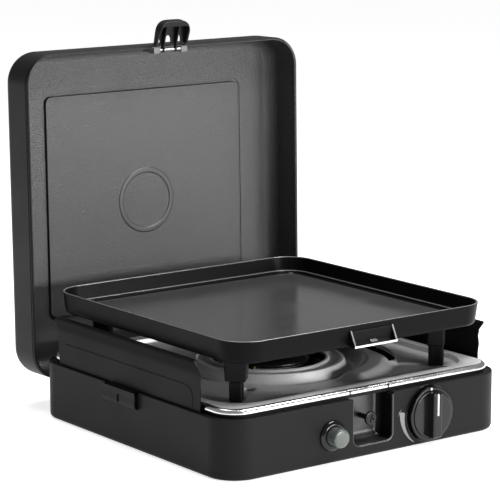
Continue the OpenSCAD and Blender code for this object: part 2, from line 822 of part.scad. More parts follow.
module latch_clip() {
  tip_y = latch_pin_y - clip_len;
  skin_z = latch_pin_z + 1.2;
  color([0.09, 0.09, 0.09])
  opened() leaned() difference() {
    union() {
      // Outer skin, deepest at the tip
      block([latch_x - clip_w / 2, tip_y, skin_z], [latch_x + clip_w / 2, lid_front_y - 1, skin_z + 1.4]);
      block([latch_x - clip_w / 2, tip_y, skin_z - 8], [latch_x + clip_w / 2, tip_y + 2, skin_z + 1]);
      // Side cheeks
      for (s = [-1, 1])
        block([latch_x + s * (clip_w / 2 - 1) - 1, tip_y, skin_z - 6], [latch_x + s * (clip_w / 2 - 1) + 1,
          lid_front_y - 1.5, skin_z + 1]);
      // Two spring ribs that carry the knuckles and grip the catch stud's head between them
      for (s = [-1, 1]) {
        block([stud_x + s * (stud_r + 1) - 0.9, tip_y + 1, skin_z - 5], [stud_x + s * (stud_r + 1) + 0.9,
          latch_pin_y + 1, skin_z + 0.5]);
        rod_x(stud_x + s * (stud_r + 1) - 2, latch_pin_y, latch_pin_z, 3.1, 4);
      }
    }
    rod_x(latch_x - 30, latch_pin_y, latch_pin_z, latch_pin_r + fit, 60);
    // Room in the tip for the lower edge of the catch stud's head
    block([stud_x - 4.5, tip_y - 1, skin_z - 12], [stud_x + 4.5, tip_y + 3, skin_z - 0.3]);
  }
}

tray();
catch_pocket();
catch_stud();
hob_top();
hob_hump();
front_left_post();
front_right_post();
rear_left_post();
rear_right_post();
post_screws();
burner_bowl();
burner_head();
burner_cap();
burner_bracket();
mixing_tube();
jet();
jet_holder();
gas_valve();
valve_bracket();
safety_magnet();
valve_plunger();
valve_stem();
feed_pipe();
inlet_pipe();
gas_inlet();
inlet_nut();
spark_electrode();
electrode_lead();
thermocouple();
thermocouple_lead();
igniter_body();
igniter_bezel();
igniter_button();
dial();
knob();
knob_pointer();
left_wing_clip();
right_wing_clip();
left_windshield();
right_windshield();
griddle_plate();
front_left_foot();
front_right_foot();
rear_left_foot();
rear_right_foot();
grip_socket();
lid();
lid_badge();
left_hinge_arm();
right_hinge_arm();
left_hinge_bracket();
right_hinge_bracket();
left_hinge_pin();
right_hinge_pin();
hinge_rivets();
latch_bracket();
latch_pin();
latch_clip();
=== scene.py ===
"""Camping stove with an open lid: its looks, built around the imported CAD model.

Sizes are in millimetres, in the frame of the CAD model: X to the right, Y to the back, Z up, and the origin
in the middle of the tray's underside. Each mesh is turned into metres when it is made. The floor and the
lamps are given in metres.
"""

import math

import bmesh
import bpy
import numpy as np
from mathutils import Matrix, Vector


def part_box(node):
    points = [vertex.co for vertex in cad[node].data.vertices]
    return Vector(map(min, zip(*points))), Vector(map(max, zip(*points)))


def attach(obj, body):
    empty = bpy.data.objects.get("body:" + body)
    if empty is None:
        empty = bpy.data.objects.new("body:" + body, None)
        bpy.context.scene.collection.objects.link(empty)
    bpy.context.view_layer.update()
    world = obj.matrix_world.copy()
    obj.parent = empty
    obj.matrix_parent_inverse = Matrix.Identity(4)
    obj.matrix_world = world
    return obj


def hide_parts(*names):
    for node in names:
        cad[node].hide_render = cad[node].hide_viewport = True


MM = 0.001

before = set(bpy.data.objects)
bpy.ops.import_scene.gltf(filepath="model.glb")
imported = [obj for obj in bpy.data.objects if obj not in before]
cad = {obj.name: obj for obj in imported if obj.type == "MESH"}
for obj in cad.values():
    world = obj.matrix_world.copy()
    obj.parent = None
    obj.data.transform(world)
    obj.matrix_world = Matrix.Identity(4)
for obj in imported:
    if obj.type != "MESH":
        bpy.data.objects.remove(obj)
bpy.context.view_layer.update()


# ---- Sizes, from the CAD model where it gives them ----

def corners(node):
    """Lowest and highest corner of a CAD node, in millimetres."""
    low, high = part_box(node)
    return low / MM, high / MM


def middle(node):
    """Middle of a CAD node's box, in millimetres."""
    low, high = corners(node)
    return (low + high) / 2


def size_of(node):
    """Width, depth and height of a CAD node's box, in millimetres."""
    low, high = corners(node)
    return high - low


tray_low, tray_high = corners("tray")
plate_low, plate_high = corners("griddle_plate")
wing_low, wing_high = corners("left_windshield")
hinge = middle("left_hinge_pin")
knob_middle = middle("valve_stem")
button_middle = middle("igniter_button")
stud_middle = middle("catch_stud")

TRAY_W = tray_high.x - tray_low.x
TRAY_D = tray_high.y - tray_low.y
TRAY_H = tray_high.z
CORNER_R = 31.0
SHEET = 1.5
FRONT_Y = tray_low.y
BACK_Y = tray_high.y
SIDE_X = tray_high.x
LIP_Z = TRAY_H - 0.5
PRINT_THICK = 0.15

LID_OPEN = math.radians(90.9)
LID_DEPTH = 46.5
LID_Z = TRAY_H + 0.2
LID_TOP = LID_Z + LID_DEPTH
LID_FRONT_Y = FRONT_Y - 0.5
LID_BACK_Y = BACK_Y + 7.0
LID_D = LID_BACK_Y - LID_FRONT_Y
LID_MID_Y = (LID_BACK_Y + LID_FRONT_Y) / 2
LATCH_X = 2.5
PIN_Y = LID_FRONT_Y + 4.3
PIN_Z = LID_Z - 1.4
CLIP_LEAN = math.radians(10)

RECESS_X = 1.5
POST_X = 123.0
POST_Y = 113.0
CLIP_Y = 10.0


# ---- Mesh helpers ----

# In metres
MERGE_DIST = 2e-6
TINY_EDGE = 1e-6


def make(name, verts, faces):
    """New object from corner points, with doubled points merged and faces turned outwards."""
    mesh = bpy.data.meshes.new(name)
    mesh.from_pydata([(x * MM, y * MM, z * MM) for x, y, z in verts], [], faces)
    shape = bmesh.new()
    shape.from_mesh(mesh)
    bmesh.ops.remove_doubles(shape, verts=shape.verts, dist=MERGE_DIST)
    bmesh.ops.dissolve_degenerate(shape, edges=shape.edges, dist=TINY_EDGE)
    bmesh.ops.recalc_face_normals(shape, faces=shape.faces)
    shape.to_mesh(mesh)
    shape.free()
    obj = bpy.data.objects.new(name, mesh)
    bpy.context.scene.collection.objects.link(obj)
    return obj


def modify(obj, kind, **settings):
    """Adds one modifier and applies it."""
    modifier = obj.modifiers.new(kind.lower(), kind)
    for key, value in settings.items():
        setattr(modifier, key, value)
    depsgraph = bpy.context.evaluated_depsgraph_get()
    result = bpy.data.meshes.new_from_object(obj.evaluated_get(depsgraph))
    obj.modifiers.clear()
    old = obj.data
    obj.data = result
    bpy.data.meshes.remove(old)


def combine(obj, other, operation):
    """Changes an object by a second one, which is used up."""
    modify(obj, "BOOLEAN", object=other, operation=operation, solver="EXACT")
    bpy.data.objects.remove(other)


def cut(obj, *others):
    """Takes other shapes away from an object."""
    for other in others:
        combine(obj, other, "DIFFERENCE")


def unite(obj, *others):
    """Adds other shapes to an object."""
    for other in others:
        combine(obj, other, "UNION")


def soften(obj, width, segments=3, angle=30):
    """Rounds the edges that are sharper than the angle."""
    modify(obj, "BEVEL", width=width * MM, segments=segments, limit_method="ANGLE",
           angle_limit=math.radians(angle), harden_normals=False)


def loft(rings, caps=True):
    """Corner points and faces of a skin over rings that have the same number of points."""
    count = len(rings[0])
    verts = [tuple(point) for ring in rings for point in ring]
    faces = []
    for i in range(len(rings) - 1):
        for j in range(count):
            k = (j + 1) % count
            faces.append((i * count + j, i * count + k, (i + 1) * count + k, (i + 1) * count + j))
    if caps:
        faces.append(tuple(range(count)))
        faces.append(tuple((len(rings) - 1) * count + j for j in range(count)))
    return verts, faces


def arc(x, z, r, start, end, steps):
    """Points on an arc, from one angle to another, in degrees."""
    angles = np.radians(np.linspace(start, end, steps + 1))
    return [(x + r * math.cos(a), z + r * math.sin(a)) for a in angles]


SMALLEST_CORNER = 0.3


def outline(w, d, r, steps=14):
    """Rounded rectangle round the origin, anticlockwise."""
    r = max(r, SMALLEST_CORNER)
    points = []
    for sx, sy, start in ((1, 1, 0), (-1, 1, 90), (-1, -1, 180), (1, -1, 270)):
        points += arc(sx * (w / 2 - r), sy * (d / 2 - r), r, start, start + 90, steps)
    return points


def pan(name, w, d, r, profile, y=0.0, steps=14):
    """Profile of (inset, height), from cap to cap, carried round a rounded rectangle."""
    rings = []
    for inset, z in profile:
        ring = outline(w - 2 * inset, d - 2 * inset, r - inset, steps)
        rings.append([(px, py + y, z) for px, py in ring])
    return make(name, *loft(rings))


def place(axis, u, v, along):
    """Point with its two cross coordinates in the order x, y, z, and one along the axis."""
    if axis == "x":
        return (along, u, v)
    if axis == "y":
        return (u, along, v)
    return (u, v, along)


def lathe(name, axis, centre, profile, steps=96):
    """Turned shape, from a profile of (radius, distance along the axis)."""
    rings = []
    for r, along in profile:
        turns = [math.tau * j / steps for j in range(steps)]
        circle = [(centre[0] + r * math.cos(a), centre[1] + r * math.sin(a)) for a in turns]
        rings.append([place(axis, u, v, along) for u, v in circle])
    return make(name, *loft(rings))


def lathe_ring(name, axis, centre, profile, steps=96):
    """Turned shape with a hole through it, from a closed loop of (radius, distance along the axis)."""
    rings = []
    for j in range(steps):
        a = math.tau * j / steps
        c, s = math.cos(a), math.sin(a)
        rings.append([place(axis, centre[0] + r * c, centre[1] + r * s, along) for r, along in profile])
    rings.append(rings[0])
    return make(name, *loft(rings, caps=False))


def bore(axis, centre, r, start, end, steps=32):
    """Round bar along an axis, to cut a hole with."""
    return lathe("cutter", axis, centre, [(r, start), (r, end)], steps)


def prism(name, axis, points, start, end):
    """Polygon drawn across the axis and pulled along it."""
    rings = [[place(axis, u, v, along) for u, v in points] for along in (start, end)]
    return make(name, *loft(rings))


def block(name, low, high):
    """Box between its lowest and its highest corner, to cut with or to shape further."""
    points = [(low[0], low[1]), (high[0], low[1]), (high[0], high[1]), (low[0], high[1])]
    return prism(name, "z", points, low[2], high[2])


def rounded(points, radii, steps):
    """Polygon with each corner rounded by its own radius, or kept sharp where that is 0."""
    result = []
    for i, (point, r) in enumerate(zip(points, radii)):
        corner = Vector(point)
        before = Vector(points[i - 1]) - corner
        after = Vector(points[(i + 1) % len(points)]) - corner
        if r == 0:
            result.append(tuple(corner))
            continue
        angle = before.angle(after)
        longest = 0.49 * min(before.length, after.length)
        reach = min(r / math.tan(angle / 2), longest)
        start = corner + before.normalized() * reach
        end = corner + after.normalized() * reach
        for j in range(steps + 1):
            t = j / steps
            result.append(tuple(start * (1 - t) ** 2 + corner * 2 * t * (1 - t) + end * t ** 2))
    return result


def tube(name, points, r, sides):
    """Round bar along a line of points."""
    path = [Vector(point) for point in points]
    rings = []
    for i, point in enumerate(path):
        ahead = (path[min(i + 1, len(path) - 1)] - path[max(i - 1, 0)]).normalized()
        side = ahead.cross(Vector((1, 0, 0)) if abs(ahead.x) < 0.8 else Vector((0, 0, 1))).normalized()
        up = side.cross(ahead)
        turns = [math.tau * j / sides for j in range(sides)]
        rings.append([tuple(point + (side * math.cos(a) + up * math.sin(a)) * r) for a in turns])
    return make(name, *loft(rings))


def front_print(name, points):
    """Thin printed mark on the tray's front."""
    return prism(name, "y", points, FRONT_Y - PRINT_THICK, FRONT_Y)


def copied(obj, name):
    """Second object of the same shape, with its own mesh."""
    twin = obj.copy()
    twin.data = obj.data.copy()
    twin.name = name
    bpy.context.scene.collection.objects.link(twin)
    return twin


def mirrored(obj, name):
    """Mirror image on the other side of the stove."""
    twin = copied(obj, name)
    twin.data.transform(Matrix.Scale(-1, 4, (1, 0, 0)))
    twin.data.flip_normals()
    return twin


def turned(obj, angle, axis, centre):
    """Turns a mesh about a line through a point, in millimetres."""
    pivot = Vector(centre) * MM
    turn = Matrix.Rotation(angle, 4, axis)
    obj.data.transform(Matrix.Translation(pivot) @ turn @ Matrix.Translation(-pivot))
    return obj


def half_turned(obj, name):
    """Copy turned half way round the upright line through the middle of the stove."""
    return turned(copied(obj, name), math.pi, "Z", (0, 0, 0))


def opened(obj):
    """Turns a piece drawn on the shut lid to where the open lid has it."""
    return turned(obj, -LID_OPEN, "X", (0, hinge.y, hinge.z))


def finish(obj, body, material, slot, *stands_for, angle=32, more=(), pick=None):
    """Last step of every piece: shading, materials, body and the CAD nodes that it stands for. The slot is
    not used.

    With more than one material, pick gives a face's material from its middle and its normal.
    """
    mesh = obj.data
    mesh.materials.clear()
    for each in (material, *more):
        mesh.materials.append(each)
    for polygon in mesh.polygons:
        polygon.use_smooth = True
        polygon.material_index = int(pick(polygon.center / MM, polygon.normal)) if pick else 0
    mesh.set_sharp_from_angle(angle=math.radians(angle))
    modify(obj, "WEIGHTED_NORMAL", keep_sharp=True)
    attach(obj, body)
    if stands_for:
        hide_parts(*stands_for)


# ---- Materials ----

def shader(name, colour, roughness, metallic=0.0, specular=0.5):
    """New material, and its surface shader."""
    material = bpy.data.materials.new(name)
    material.use_nodes = True
    surface = material.node_tree.nodes["Principled BSDF"]
    surface.inputs["Base Color"].default_value = (*colour, 1)
    surface.inputs["Roughness"].default_value = roughness
    surface.inputs["Metallic"].default_value = metallic
    surface.inputs["Specular IOR Level"].default_value = specular
    return material, surface


def noise(material, scale, detail=3.0, stretch=(1, 1, 1)):
    """Noise in the stove's own coordinates, with so many lumps a metre."""
    nodes, links = material.node_tree.nodes, material.node_tree.links
    coordinates = nodes.new("ShaderNodeTexCoord")
    mapping = nodes.new("ShaderNodeMapping")
    mapping.inputs["Scale"].default_value = stretch
    texture = nodes.new("ShaderNodeTexNoise")
    texture.inputs["Scale"].default_value = scale
    texture.inputs["Detail"].default_value = detail
    links.new(coordinates.outputs["Object"], mapping.inputs["Vector"])
    links.new(mapping.outputs["Vector"], texture.inputs["Vector"])
    return texture.outputs["Fac"]


# The stretch of values that a noise texture mostly keeps to
NOISE_LOW, NOISE_HIGH = 0.3, 0.7


def spread(material, value, low, high):
    """Maps a noise value to a range."""
    node = material.node_tree.nodes.new("ShaderNodeMapRange")
    node.inputs["From Min"].default_value = NOISE_LOW
    node.inputs["From Max"].default_value = NOISE_HIGH
    node.inputs["To Min"].default_value = low
    node.inputs["To Max"].default_value = high
    material.node_tree.links.new(value, node.inputs["Value"])
    return node.outputs["Result"]


def tint(material, surface, value, dark, light):
    """Lets a noise value move the colour between two shades."""
    node = material.node_tree.nodes.new("ShaderNodeMix")
    node.data_type = "RGBA"
    node.inputs["A"].default_value = (*dark, 1)
    node.inputs["B"].default_value = (*light, 1)
    material.node_tree.links.new(spread(material, value, 0, 1), node.inputs["Factor"])
    material.node_tree.links.new(node.outputs["Result"], surface.inputs["Base Color"])


def bump(material, surface, value, height):
    """Raises the surface by a noise value; the height is in millimetres."""
    node = material.node_tree.nodes.new("ShaderNodeBump")
    node.inputs["Strength"].default_value = 1.0
    node.inputs["Distance"].default_value = height * MM
    material.node_tree.links.new(value, node.inputs["Height"])
    material.node_tree.links.new(node.outputs["Normal"], surface.inputs["Normal"])


# Lumps of noise a metre
BROAD_PAINT, BROAD_METAL, SCRATCHES = 22, 30, 900


def shades(colour, spots):
    """A darker and a lighter shade of a colour."""
    return tuple(v * (1 - spots) for v in colour), tuple(v * (1 + spots) for v in colour)


def vary_roughness(material, surface, value, below, above):
    """Lets a noise value move the roughness a little."""
    roughness = surface.inputs["Roughness"].default_value
    varied = spread(material, value, roughness - below, roughness + above)
    material.node_tree.links.new(varied, surface.inputs["Roughness"])


def coated(name, colour, roughness, grain, height, specular, spots):
    """Paint or moulding: fine grain in the surface, and a roughness and shade that vary a little."""
    material, surface = shader(name, colour, roughness, specular=specular)
    fine = noise(material, grain)
    broad = noise(material, BROAD_PAINT, 2.0)
    tint(material, surface, broad, *shades(colour, spots))
    vary_roughness(material, surface, broad, 0.04, 0.05)
    bump(material, surface, fine, height)
    return material


def brushed(name, colour, roughness, stretch, height, spots=0.12, metallic=1.0):
    """Bare metal with fine parallel scratches."""
    material, surface = shader(name, colour, roughness, metallic=metallic)
    scratches = noise(material, SCRATCHES, 2.0, stretch)
    broad = noise(material, BROAD_METAL)
    tint(material, surface, scratches, *shades(colour, spots))
    vary_roughness(material, surface, broad, 0.05, 0.06)
    bump(material, surface, scratches, height)
    return material


# Name, colour, roughness, lumps of grain a metre, height of the grain, specular level, spots
tray_paint = coated("tray_paint", (0.010, 0.010, 0.0101), 0.46, 1500, 0.010, 0.07, 0.04)
shield_paint = coated("shield_paint", (0.007, 0.007, 0.0071), 0.44, 1500, 0.010, 0.06, 0.04)
# Lid paint inside and outside: the inside's coarse grain is real, and its lighter shade than the outside is
# painted light
lid_paint = coated("lid_paint", (0.030, 0.030, 0.0303), 0.34, 900, 0.70, 0.6, 0.04)
lid_outside = coated("lid_outside", (0.009, 0.009, 0.0091), 0.40, 820, 0.03, 0.12, 0.04)
bracket_grey = coated("bracket_grey", (0.11, 0.11, 0.11), 0.45, 900, 0.02, 0.3, 0.08)
clip_plastic = coated("clip_plastic", (0.006, 0.006, 0.0062), 0.34, 1200, 0.01, 0.15, 0.08)
pocket_plastic = coated("pocket_plastic", (0.012, 0.012, 0.0121), 0.30, 1200, 0.006, 0.7, 0.06)
stud_black = coated("stud_black", (0.003, 0.003, 0.003), 0.25, 900, 0.01, 0.25, 0.10)
black_paint = coated("black_paint", (0.004, 0.004, 0.0041), 0.42, 1400, 0.012, 0.08, 0.10)
dark_plastic = coated("dark_plastic", (0.016, 0.016, 0.017), 0.45, 1900, 0.012, 0.3, 0.10)
gloss_plastic = coated("gloss_plastic", (0.004, 0.004, 0.0042), 0.16, 900, 0.001, 0.3, 0.10)
foot_rubber = coated("foot_rubber", (0.004, 0.004, 0.004), 0.45, 1300, 0.015, 0.10, 0.12)
enamel = coated("enamel", (0.006, 0.006, 0.006), 0.24, 500, 0.006, 0.3, 0.15)
plate_coat = coated("plate_coat", (0.004, 0.004, 0.0041), 0.34, 900, 0.006, 0.04, 0.06)
# Floor coat: its gloss is real, and its lighter shade than the wall coat paints part of the floor's
# reflection
nonstick = coated("nonstick", (0.046, 0.046, 0.0463), 0.17, 700, 0.002, 0.8, 0.06)
# Light glossy grey that paints the highlight on the plate's rim crown, its ledge and the grip tab
painted_glint = coated("painted_glint", (0.10, 0.10, 0.101), 0.24, 700, 0.003, 0.9, 0.06)
# Near black that paints shade: on the pocket's right wall and on the sheet inside the griddle's grip socket
painted_shade_black = coated("painted_shade_black", (0.0025, 0.0025, 0.0025), 0.45, 900, 0.006, 0.08, 0.06)
ceramic = coated("ceramic", (0.74, 0.72, 0.66), 0.25, 600, 0.004, 0.5, 0.04)
lead_rubber = coated("lead_rubber", (0.25, 0.03, 0.02), 0.5, 1200, 0.01, 0.4, 0.10)
white_print = coated("white_print", (0.55, 0.55, 0.55), 0.45, 1400, 0.006, 0.5, 0.03)
grey_print = coated("grey_print", (0.15, 0.15, 0.15), 0.45, 1400, 0.006, 0.5, 0.05)
badge_paint = coated("badge_paint", (0.035, 0.035, 0.0355), 0.36, 800, 0.05, 0.4, 0.08)
smoke_cap = coated("smoke_cap", (0.075, 0.085, 0.076), 0.30, 700, 0.006, 0.5, 0.10)

# Name, colour, roughness, how the scratches are stretched, and their height
hob_steel = brushed("hob_steel", (0.84, 0.84, 0.84), 0.34, (0.03, 1, 1), 0.0012, spots=0.03, metallic=0.5)
polished = brushed("polished", (0.70, 0.70, 0.70), 0.20, (0.3, 0.3, 1), 0.002, spots=0.03)
plated = brushed("plated", (0.52, 0.52, 0.53), 0.30, (1, 0.08, 1), 0.01)
pin_steel = brushed("pin_steel", (0.30, 0.30, 0.31), 0.36, (0.05, 1, 1), 0.006)
cast_metal = brushed("cast_metal", (0.36, 0.36, 0.35), 0.48, (1, 1, 1), 0.05)
brass = brushed("brass", (0.68, 0.48, 0.20), 0.28, (1, 0.1, 1), 0.008)
copper = brushed("copper", (0.70, 0.36, 0.22), 0.32, (0.1, 0.1, 1), 0.008)
bare_aluminium = brushed("bare_aluminium", (0.62, 0.62, 0.63), 0.30, (0.06, 1, 1), 0.006)


# ---- Camera, light and floor ----

CAMERA_AZIMUTH = math.radians(-36.6517)
CAMERA_ELEVATION = math.radians(10.6727)
CAMERA_ROLL = math.radians(-0.1511)
CAMERA_TARGET = (-22.768, 0, 176.617)
CAMERA_DISTANCE = 2285.74
CAMERA_LENS = 166.9
CAMERA_SENSOR = 36

FLOOR_REACH = 15
FLOOR_DROP = 0.0004
FLOOR_GLOW = 0.72
WORLD_GLOW = 0.26

# Name, place, aim and size in metres, and power
LAMPS = (
    ("key", (0.30, -0.36, 0.98), (0, 0.17, 0.38), (0.6, 0.3), 13),
    ("top", (0.1, 0.5, 2.2), (0, 0.15, 0.1), (1.6, 1.0), 24),
    ("front", (0.75, -2.2, 0.42), (0, 0, 0.08), (1.2, 0.35), 46),
)


def make_camera():
    """Camera in front and to the left of the stove, looking a little down."""
    az, el, roll = CAMERA_AZIMUTH, CAMERA_ELEVATION, CAMERA_ROLL
    back = Vector((math.sin(az) * math.cos(el), -math.cos(az) * math.cos(el), math.sin(el)))
    right = (-back).cross(Vector((0, 0, 1))).normalized()
    up = right.cross(-back)
    x_axis = right * math.cos(roll) + up * math.sin(roll)
    y_axis = up * math.cos(roll) - right * math.sin(roll)
    data = bpy.data.cameras.new("camera")
    data.sensor_width = CAMERA_SENSOR
    data.lens = CAMERA_LENS
    data.clip_end = 100
    camera = bpy.data.objects.new("camera", data)
    bpy.context.scene.collection.objects.link(camera)
    turn = Matrix((x_axis, y_axis, back)).transposed().to_4x4()
    eye = (Vector(CAMERA_TARGET) + back * CAMERA_DISTANCE) * MM
    camera.matrix_world = Matrix.Translation(eye) @ turn
    bpy.context.scene.camera = camera


def make_lamp(name, eye, aim, size, power):
    """Rectangular soft lamp that looks at a point."""
    data = bpy.data.lights.new(name, "AREA")
    data.shape = "RECTANGLE"
    data.size, data.size_y = size
    data.energy = power
    lamp = bpy.data.objects.new(name, data)
    bpy.context.scene.collection.objects.link(lamp)
    lamp.location = eye
    lamp.rotation_euler = (Vector(aim) - Vector(eye)).to_track_quat("-Z", "Y").to_euler()


def make_world():
    """Even white light from all round."""
    scene = bpy.context.scene
    scene.view_settings.view_transform = "Standard"
    scene.view_settings.look = "None"
    world = bpy.data.worlds.new("studio")
    world.use_nodes = True
    background = world.node_tree.nodes["Background"]
    background.inputs["Color"].default_value = (1, 1, 1, 1)
    background.inputs["Strength"].default_value = WORLD_GLOW
    scene.world = world


def make_floor():
    """Wide pale floor that glows a little, so that it stays pale far from the lamps."""
    far = FLOOR_REACH
    mesh = bpy.data.meshes.new("floor")
    mesh.from_pydata([(-far, -far, 0), (far, -far, 0), (far, far, 0), (-far, far, 0)], [], [(0, 1, 2, 3)])
    floor = bpy.data.objects.new("floor", mesh)
    bpy.context.scene.collection.objects.link(floor)
    floor.location.z = -FLOOR_DROP
    material, surface = shader("floor", (0.92, 0.92, 0.92), 0.8)
    surface.inputs["Emission Color"].default_value = (1, 1, 1, 1)
    surface.inputs["Emission Strength"].default_value = FLOOR_GLOW
    tint(material, surface, noise(material, 3, 2.0), (0.91, 0.91, 0.91), (0.93, 0.93, 0.93))
    mesh.materials.append(material)


make_camera()
make_world()
make_floor()
for lamp in LAMPS:
    make_lamp(*lamp)


# ---- Tray ----

TRAY_FILLET = 4.0
RIM_BEND = 1.1
LIP_REACH = 9.0
RECESS_W = 47.0
RECESS_Z = 12.0
RECESS_R = 7.0
HINGE_SLOT_X = 95.0
HINGE_SLOT_W = 5.0
NOTCH_W = 58.0
VENT_X = 75.0
VENT_Y = 50.0
VENT_STEP = 20.0
VENT_COUNT = 6
SPINDLE_HOLE_R = 5.0
BUTTON_HOLE_R = 11.5
INLET_HOLE_R = 7.0
INLET_Y = 60.0
INLET_Z = 25.0


def recess(grow, top):
    """Outline of the latch recess, open at the top of the tray's front wall."""
    half = RECESS_W / 2 + grow
    low = RECESS_Z - grow
    r = max(RECESS_R + grow, 2 * SMALLEST_CORNER)
    points = [(RECESS_X - half, top)]
    points += arc(RECESS_X - half + r, low + r, r, 180, 270, 8)
    points += arc(RECESS_X + half - r, low + r, r, 270, 360, 8)
    points.append((RECESS_X + half, top))
    return points


def tray_openings():
    """Latch recess, hinge slots, rim notches, vents, and holes for the controls and the gas inlet."""
    openings = [prism("cutter", "y", recess(1.4, TRAY_H + 3), FRONT_Y - 2, FRONT_Y + 11)]
    for side in (-1, 1):
        x = side * HINGE_SLOT_X
        half = HINGE_SLOT_W / 2
        low = (x - half, hinge.y - 12, hinge.z - 6)
        openings.append(block("cutter", low, (x + half, BACK_Y + 1, TRAY_H + 1)))
        x = side * SIDE_X
        y = -side * CLIP_Y
        half = NOTCH_W / 2
        openings.append(block("cutter", (x - 8, y - half, LIP_Z - 2.5), (x + 8, y + half, TRAY_H + 1)))
        for i in range(VENT_COUNT):
            y = i * VENT_STEP - VENT_Y
            vent = [(px + side * VENT_X, py + y) for px, py in outline(60, 6, 2.9, 6)]
            openings.append(prism("cutter", "z", vent, -1, 3))
    openings.append(bore("y", (knob_middle.x, knob_middle.z), SPINDLE_HOLE_R, FRONT_Y - 1, FRONT_Y + 3))
    button = (button_middle.x, button_middle.z)
    openings.append(bore("y", button, BUTTON_HOLE_R, FRONT_Y - 1, FRONT_Y + 3, 48))
    openings.append(bore("x", (INLET_Y, INLET_Z), INLET_HOLE_R, SIDE_X - 3, SIDE_X + 1))
    return openings


def make_tray():
    """Pressed pan with a rounded foot, a rolled rim and a lip turned in."""
    r = TRAY_FILLET
    profile = arc(r, r, r, 270, 180, 8)
    profile += arc(RIM_BEND, TRAY_H - RIM_BEND, RIM_BEND, 180, 90, 5)
    profile += [(1.7, TRAY_H), (2.0, TRAY_H - 0.9), (3.2, TRAY_H - 0.9), (3.5, LIP_Z)]
    profile += arc(LIP_REACH - 0.6, LIP_Z - 0.6, 0.6, 90, 0, 3)
    profile += [(LIP_REACH, LIP_Z - SHEET), (SHEET, LIP_Z - SHEET)]
    profile += arc(r, r, r - SHEET, 180, 270, 5)
    tray = pan("tray_shell", TRAY_W, TRAY_D, CORNER_R, profile)
    cut(tray, *tray_openings())
    finish(tray, "base", tray_paint, "charcoal_paint", "tray")


# ---- Catch pocket and stud ----

POCKET_DEPTH = 21.0
POCKET_TOP = 62.0
MOUTH_R = 1.4
INNER_R = 8.0
OUTER_R = 9.0
STUD_Z = 35.0
STUD_HEAD_Y = FRONT_Y + 3.0
STUD_END_Y = FRONT_Y + 25.4
STUD_SHANK_R = 2.58
CROSS_TURN = 20


def make_pocket():
    """Drawn pocket behind the recess: rounded mouth, straight sides and a wide fillet to its back wall, with
    painted shade on its right wall.
    """
    front = FRONT_Y + 0.02
    deep = FRONT_Y + POCKET_DEPTH
    inner_r, outer_r = INNER_R, OUTER_R
    outside = [(-outer_r + 0.5, deep + SHEET)]
    outside += arc(SHEET - outer_r, deep + SHEET - outer_r, outer_r, 78, 0, 6)
    outside.append((SHEET, FRONT_Y + 1.6))
    mouth = arc(MOUTH_R, front + MOUTH_R, MOUTH_R, 270, 180, 5)
    wall = arc(-inner_r, deep - inner_r, inner_r, 0, 78, 6)
    wall.append((-inner_r - 0.4, deep))
    rings = []
    for grow, y in outside + mouth + wall:
        rings.append([(px, y, pz) for px, pz in recess(grow, POCKET_TOP)])
    pocket = make("latch_pocket", *loft(rings))
    cut(pocket, block("cutter", (-60, FRONT_Y - 5, LIP_Z - 1.8), (60, deep + 5, POCKET_TOP + 9)))

    # Faces of the right wall get a darker black than the rest of the pocket: painted shade
    def on_right_wall(point, normal):
        return normal.x < -0.4 and point.y > FRONT_Y + 2.5

    finish(pocket, "base", pocket_plastic, "black_plastic", "catch_pocket", more=(painted_shade_black,),
           pick=on_right_wall)


def make_stud():
    """Catch screw: a domed head with a cross recess on a shank."""
    x, z, head = stud_middle.x, STUD_Z, STUD_HEAD_Y
    profile = [(0, head + 0.4), (3.0, head + 0.3), (5.4, head), (6.3, head + 0.4), (6.75, head + 1.2),
               (6.75, head + 2.6), (6.2, head + 3.2), (4.6, head + 4.5), (STUD_SHANK_R, head + 4.5),
               (STUD_SHANK_R, STUD_END_Y), (0, STUD_END_Y)]
    stud = lathe("catch_screw", "y", (x, z), profile, 48)
    for turn in (CROSS_TURN, CROSS_TURN + 90):
        slot = block("cutter", (x - 3.6, head - 1, z - 0.7), (x + 3.6, head + 2.0, z + 0.7))
        turned(slot, math.radians(turn), "Y", (x, head, z))
        cut(stud, slot)
    soften(stud, 0.15, 2, 40)
    finish(stud, "base", stud_black, "plated_steel", "catch_stud")


make_tray()
make_pocket()
make_stud()


# ---- Hob ----

hob_size = size_of("hob_top")
HOB_W = hob_size.x
HOB_D = hob_size.y
HOB_Z = 66.0
HOB_R = 24.5
HOB_SHEET = 0.9
RIM_R = 4.0
LOW_W, LOW_D, LOW_R = 301.0, 281.0, 40.0
LOW_Z = 61.0
DISH_Z = 55.0
CONE_FOOT_R = 81.0
CONE_EDGE_R = 82.0
DISH_R = 135.0
CHANNEL_DEPTH = 2.4
LENS_R = 126.5
TURN_STEPS = 640
DISH_ROWS = 62
turns = np.arange(TURN_STEPS) * math.tau / TURN_STEPS
cosines, sines = np.cos(turns), np.sin(turns)


def ray_reach(w, d, r):
    """Distance from the middle to a rounded rectangle, in each direction."""
    reach = []
    corner_x, corner_y = w / 2 - r, d / 2 - r
    for a in turns:
        c, s = abs(math.cos(a)), abs(math.sin(a))
        far = min(w / 2 / max(c, 1e-9), d / 2 / max(s, 1e-9))
        if far * c > corner_x and far * s > corner_y:
            b = c * corner_x + s * corner_y
            far = b + math.sqrt(max(b * b - (corner_x ** 2 + corner_y ** 2 - r * r), 0))
        reach.append(far)
    return np.array(reach)


def inset_reach(w, d, r, inset):
    """The same, for a rounded rectangle drawn in by an inset."""
    return ray_reach(w - 2 * inset, d - 2 * inset, r - inset)


def ramp(value, low, high):
    """Smooth step from 0 at low to 1 at high."""
    t = np.clip((value - low) / (high - low), 0, 1)
    return t * t * (3 - 2 * t)


